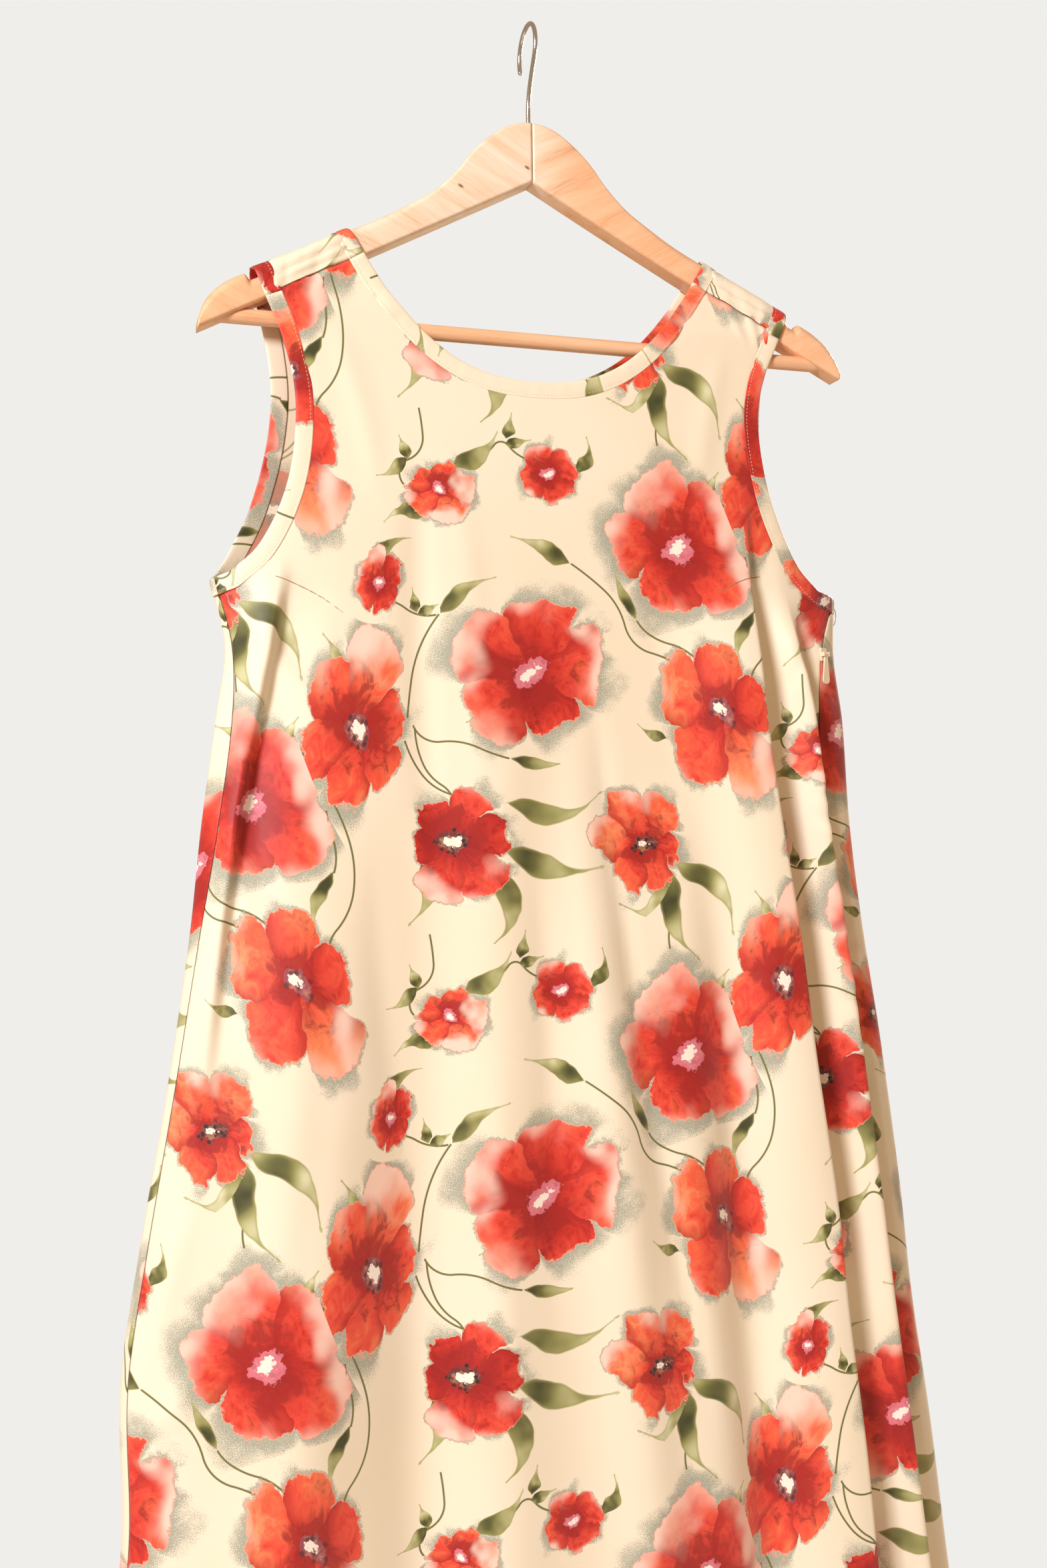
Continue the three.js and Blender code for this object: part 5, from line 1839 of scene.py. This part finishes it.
@dataclass
class Hanger:
    """A contoured two-piece beech hanger with a round bar and a wire hook."""

    form: DressForm
    thick: float = 17.0
    lower: Pair = (-108.0, 0.538)
    notch: Triple = (188.0, 7.0, 6.0)
    bar_radius: float = 5.0
    bar_z: float = -217.0
    bar_half: float = 213.0
    wire: float = 1.5
    rail: float = 16.0
    shank_foot: float = -91.0
    shank_top: float = -58.0
    joint: float = 0.15
    top: tuple[Pair, ...] = (
        (0, -67), (10, -68.6), (20, -73), (32, -82), (42, -92), (52, -105), (66, -119), (82, -129.5),
        (100, -140.2), (125, -153.3), (160, -171.6), (194, -189.4), (205, -195.5), (214, -203),
        (220, -211.5), (224, -223),
    )

    def arm_section(self, x: float, hand: int) -> Array:
        """One section of an arm: a bar with rounded edges.

        Args:
            x: How far it is from the hanger's middle.
            hand: -1 for the left arm, 1 for the right one.

        Returns:
            The ring of points, in millimetres.
        """
        distance, heights = np.array(self.top).T
        at, half_notch, deep = self.notch
        notched = float(1 - smooth(0.3, 1, abs(x - at) / half_notch))
        top = float(sampled(distance, heights, x)) - deep * notched
        bottom = self.lower[0] - self.lower[1] * x
        half = self.thick / 2
        upper = min(float(mix(3, 8, smooth(50, 110, x))), (top - bottom) / 2)
        lower = min(2.5, (top - bottom) / 3)
        corners = (
            (half - upper, top - upper, upper),
            (upper - half, top - upper, upper),
            (lower - half, bottom + lower, lower),
            (half - lower, bottom + lower, lower),
        )
        ring = []
        for turn, (y, z, radius) in enumerate(corners):
            angle = np.linspace(turn, turn + 1, 9) * math.pi / 2
            across = np.full(9, hand * max(x, self.joint))
            ring.append(np.stack([across, y + radius * np.cos(angle), z + radius * np.sin(angle)], axis=1))
        points = np.concatenate(ring)
        points[:, 1] += float(self.form.arm_y(x))
        return points if hand > 0 else points[::-1]

    def arm(self, hand: int, beech: Material) -> Object:
        """One arm, from the joint in the middle to its rounded tip.

        Args:
            hand: -1 for the left arm, 1 for the right one.
            beech: The wood's finish.

        Returns:
            The arm.
        """
        stations = spread([0, 60, 178, 199, 212, 223.6], [30, 40, 28, 10, 22])
        rings = [self.arm_section(float(x), hand) for x in stations]
        points = np.concatenate([*rings, rings[0].mean(axis=0)[None], rings[-1].mean(axis=0)[None]])
        side = "left" if hand < 0 else "right"
        arm = mesh_object(f"beech_arm_{side}", points, tube_faces(len(rings), len(rings[0])))
        arm.data.materials.append(beech)
        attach(arm, BODY)
        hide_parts(f"hanger_arm_{side}")
        return arm

    def bar(self, beech: Material) -> Object:
        """The round bar between the arms.

        Args:
            beech: The wood's finish.

        Returns:
            The bar.
        """
        y = float(self.form.arm_y(self.bar_half))
        across = np.linspace(-self.bar_half, self.bar_half, 60)
        path = np.stack([across, 0 * across + y, 0 * across + self.bar_z], axis=1)
        bar = tube("beech_bar", path, self.bar_radius, 36)
        bar.data.materials.append(beech)
        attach(bar, BODY)
        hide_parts("hanger_bar")
        return bar

    def hook(self, chrome: Material) -> Object:
        """The wire hook: up from the wood, forward, then over the rail and down behind it.

        Args:
            chrome: The wire's finish.

        Returns:
            The hook.
        """
        reach = self.rail + self.wire
        start, end = math.radians(215), math.radians(-25)
        angle = np.linspace(start, end, 90)
        arc = np.stack([0 * angle, reach * np.cos(angle), reach * np.sin(angle) - self.rail], axis=1)
        entry = np.array([0, math.sin(start), -math.cos(start)])
        top = np.array([0, 0, self.shank_top])
        knots = (top, top + (0, 0, 12), arc[0] - 10 * entry, arc[0])
        t = np.linspace(0, 1, 30)[:, None]
        shares = ((1 - t) ** 3, 3 * t * (1 - t) ** 2, 3 * t**2 * (1 - t), t**3)
        neck = sum(share * knot for share, knot in zip(shares, knots))
        rise = np.linspace(self.shank_foot, self.shank_top, 12)
        shank = np.stack([0 * rise, 0 * rise, rise], axis=1)
        path = spaced(np.concatenate([shank, neck[1:], arc[1:]]), 1.0)
        hook = tube("chrome_hook", path, self.wire, 16)
        hook.data.materials.append(chrome)
        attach(hook, BODY)
        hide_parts("hanger_hook")
        return hook


# -------- the zip


@dataclass
class Zip:
    """The top of the concealed zip in the right side seam, and the thread loop above it."""

    form: DressForm
    loop_top: float = -389.0
    loop_drop: float = 13.0

    def dress(self, nylon: Material) -> None:
        """Gives the slider and its pull their nylon."""
        for node in ("zip_slider", "zip_pull"):
            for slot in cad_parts[node].material_slots:
                slot.material = nylon

    def loop(self, thread: Material) -> Object:
        """The sewn loop at the underarm.

        Args:
            thread: The thread's finish.

        Returns:
            The loop.
        """
        turn = np.linspace(0, math.pi, 26)
        z = self.loop_top - self.loop_drop * (1 - np.cos(turn)) / 2
        face = self.form.body(np.full(26, 1.0), z)
        path = face + np.stack([2.6 * np.sin(turn) - 0.3, -0.4 * np.sin(turn), 0 * turn], axis=1)
        loop = tube("thread_loop", path, 0.4, 8)
        loop.data.materials.append(thread)
        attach(loop, BODY)
        return loop


# -------- the studio


@dataclass
class Studio:
    """A plain pale floor, soft light from all round, two large lamps and the camera."""

    floor_z: float = -1.62
    floor_half: float = 1.15
    air: str = "#ffdcb2"
    air_power: float = 0.44
    backdrop: str = "#f0eeeb"
    camera_at: Triple = (-325.3, -974.3, -530.6)
    yaw: float = 17.93
    pitch: float = 0.97
    roll: float = 0.81
    lens: float = 35.0

    def camera(self) -> Object:
        """Sets up the camera, to the left of the dress.

        Returns:
            The camera.
        """
        yaw, pitch, roll = (math.radians(a) for a in (self.yaw, self.pitch, self.roll))
        ahead = Vector((math.sin(yaw) * math.cos(pitch), math.cos(yaw) * math.cos(pitch), math.sin(pitch)))
        right = ahead.cross(Vector((0, 0, 1))).normalized()
        up = right.cross(ahead)
        right, up = right * math.cos(roll) - up * math.sin(roll), up * math.cos(roll) + right * math.sin(roll)
        data = bpy.data.cameras.new("camera")
        data.lens = self.lens
        data.sensor_width = 36.0
        data.clip_start = 0.01
        data.clip_end = 50.0
        camera = placed("camera", data)
        turn = Matrix((right, up, -ahead)).transposed().to_4x4()
        camera.matrix_world = Matrix.Translation(Vector(self.camera_at) * MM) @ turn
        bpy.context.scene.camera = camera
        return camera

    def light(self, name: str, at: Triple, size: float, power: float, tint: str) -> Object:
        """A big soft light that faces the dress.

        Args:
            name: Its name.
            at: Its place, in metres.
            size: Its width, in metres.
            power: Its power, in watts.
            tint: Its colour.

        Returns:
            The light.
        """
        data = bpy.data.lights.new(name, "AREA")
        data.shape = "DISK"
        data.size = size
        data.energy = power
        data.color = linear(tint)[:3]
        lamp = placed(name, data)
        lamp.location = at
        lamp.rotation_euler = (Vector((0, 0, -0.6)) - Vector(at)).to_track_quat("-Z", "Y").to_euler()
        return lamp

    def build(self) -> None:
        """Sets up the floor, the air and the lights."""
        bpy.context.scene.view_settings.view_transform = "Standard"
        world = bpy.data.worlds.new("studio_air")
        world.use_nodes = True
        air = world.node_tree
        air.nodes.clear()
        glow = add_node(air, "Background", (self.air, self.air_power))
        wall = add_node(air, "Background", (self.backdrop, 1.0))
        seen = add_node(air, "LightPath")
        both = add_node(air, "MixShader", (seen.outputs["Is Camera Ray"], glow, wall))
        add_node(air, "OutputWorld", (both,))
        bpy.context.scene.world = world
        half, z = self.floor_half / MM, self.floor_z / MM
        turn = np.linspace(0, 2 * math.pi, 96, endpoint=False)
        rim = np.stack([half * np.cos(turn), half * np.sin(turn), 0 * turn + z], axis=1)
        floor = mesh_object("pale_floor", rim, [range(96)])
        material, add = new_material("matt_pale_paint")
        add("OutputMaterial", (add("BsdfPrincipled", {"Base Color": "#efedea", "Roughness": 0.9}),))
        floor.data.materials.append(material)
        self.light("key_light", (-1.9, -1.7, 0.5), 0.8, 88.0, "#f6f8ff")
        self.light("back_light", (2.1, 1.5, 0.5), 0.9, 70.0, "#fdf9f4")


# -------- the whole dress


def main() -> None:
    """Builds the dress, its hanger and the studio, in order."""
    logging.basicConfig(level=logging.INFO, format="%(message)s")
    studio = Studio()
    studio.camera()
    studio.build()

    form = DressForm(creases=CREASES)
    edges = OpenEdges(form)
    front_neck, back_neck = edges.neck(Side.FRONT), edges.neck(Side.BACK)
    armholes = {"left": edges.armhole(-1), "right": edges.armhole(1)}
    paint = PoppyPrint().group()
    cloth = PrintedCrepe()
    right_side = cloth.side("printed_crepe_right_side", paint, 0.0)
    crepe = (right_side, cloth.side("printed_crepe_wrong_side", paint, cloth.wrong_side_fade))
    thread = SewingThread().material("spun_polyester_thread")
    # Painted shade: a brown copy of the thread finish, for the thin tubes that stand for the shadow in each
    # dart's groove.
    dart_groove_shade = SewingThread("#b08a68", "#96704f").material("dart_groove_painted_shade")
    beech = LacqueredBeech()

    front = FrontPanel(form, [front_neck, *armholes.values()]).build(crepe)
    log.info("front panel: %d faces", len(front.data.polygons))
    back = BackPanel(form, [front_neck, back_neck, *armholes.values()]).build(crepe)
    log.info("back panel: %d faces", len(back.data.polygons))

    binding = Binding(form)
    binding.fold("neck_binding_front_crepe", "neck_binding_front", front_neck, crepe, (-100, -604))
    binding.fold("neck_binding_back_crepe", "neck_binding_back", back_neck, crepe, (120, 40))
    for side, hand in (("left", -1), ("right", 1)):
        whole = armholes[side]
        by_seam = form.body(np.array(hand * 0.9), np.array(form.underarm_z))[0]
        low = np.argmin(whole.points[:, 2] + np.abs(by_seam - whole.points[:, 0]))
        number = np.arange(len(whole.points))
        node = f"armhole_binding_{side}"
        cut = (70, 230) if hand < 0 else (-80, -458)
        binding.fold(f"{node}_front_crepe", f"{node}_front", whole.part(number <= low), crepe, cut)
        binding.fold(f"{node}_back_crepe", f"{node}_back", whole.part(number >= low), crepe, (10, 300))
        log.info("armhole binding, %s side", side)

    stitching = Stitching()
    tree = stitching.tree()
    rows = {
        "neck_topstitching": [binding.topstitch(front_neck), binding.topstitch(back_neck)],
        "armhole_topstitching": [binding.topstitch(edge) for edge in armholes.values()],
        "hem_stitching": [hem_line(form)],
    }
    # Painted shade: along each dart's stitched line a thin brown tube, thickest in its middle, stands for the
    # shadow in the dart's groove.
    for side, line in zip(("left", "right"), dart_lines(form)):
        seam = tube(f"bust_dart_painted_shade_{side}", line, 0.22 * np.sin(np.linspace(0.5, 2.9, len(line))) + 0.14, 6)
        seam.data.materials.append(dart_groove_shade)
        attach(seam, BODY)
    for name, lines in rows.items():
        row = stitching.row(name, lines, tree, thread)
        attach(row, BODY)
        log.info("%s: %d faces", name, len(row.data.polygons))

    hanger = Hanger(form)
    knots = [(-51, -117, 1.7), (-4, -99, 1.6)]
    # Each piece has its own painted shade: the left arm darkens only at its tip, the right arm and the bar
    # are shaded nearly all along.
    hanger.arm(-1, beech.material("lacquered_beech_left", -28.0, (-135, -185), knots))
    hanger.arm(1, beech.material("lacquered_beech_right", 28.0, (-6, 40)))
    hanger.bar(beech.material("lacquered_beech_bar", 0.0, (-400, -300)))
    hanger.hook(PlatedWire().material())
    log.info("hanger: two arms, bar and hook")

    zip_top = Zip(form)
    zip_top.dress(DyedNylon().material())
    zip_top.loop(thread)
    log.info("zip slider, pull and thread loop")


if __name__ == "__main__":
    main()
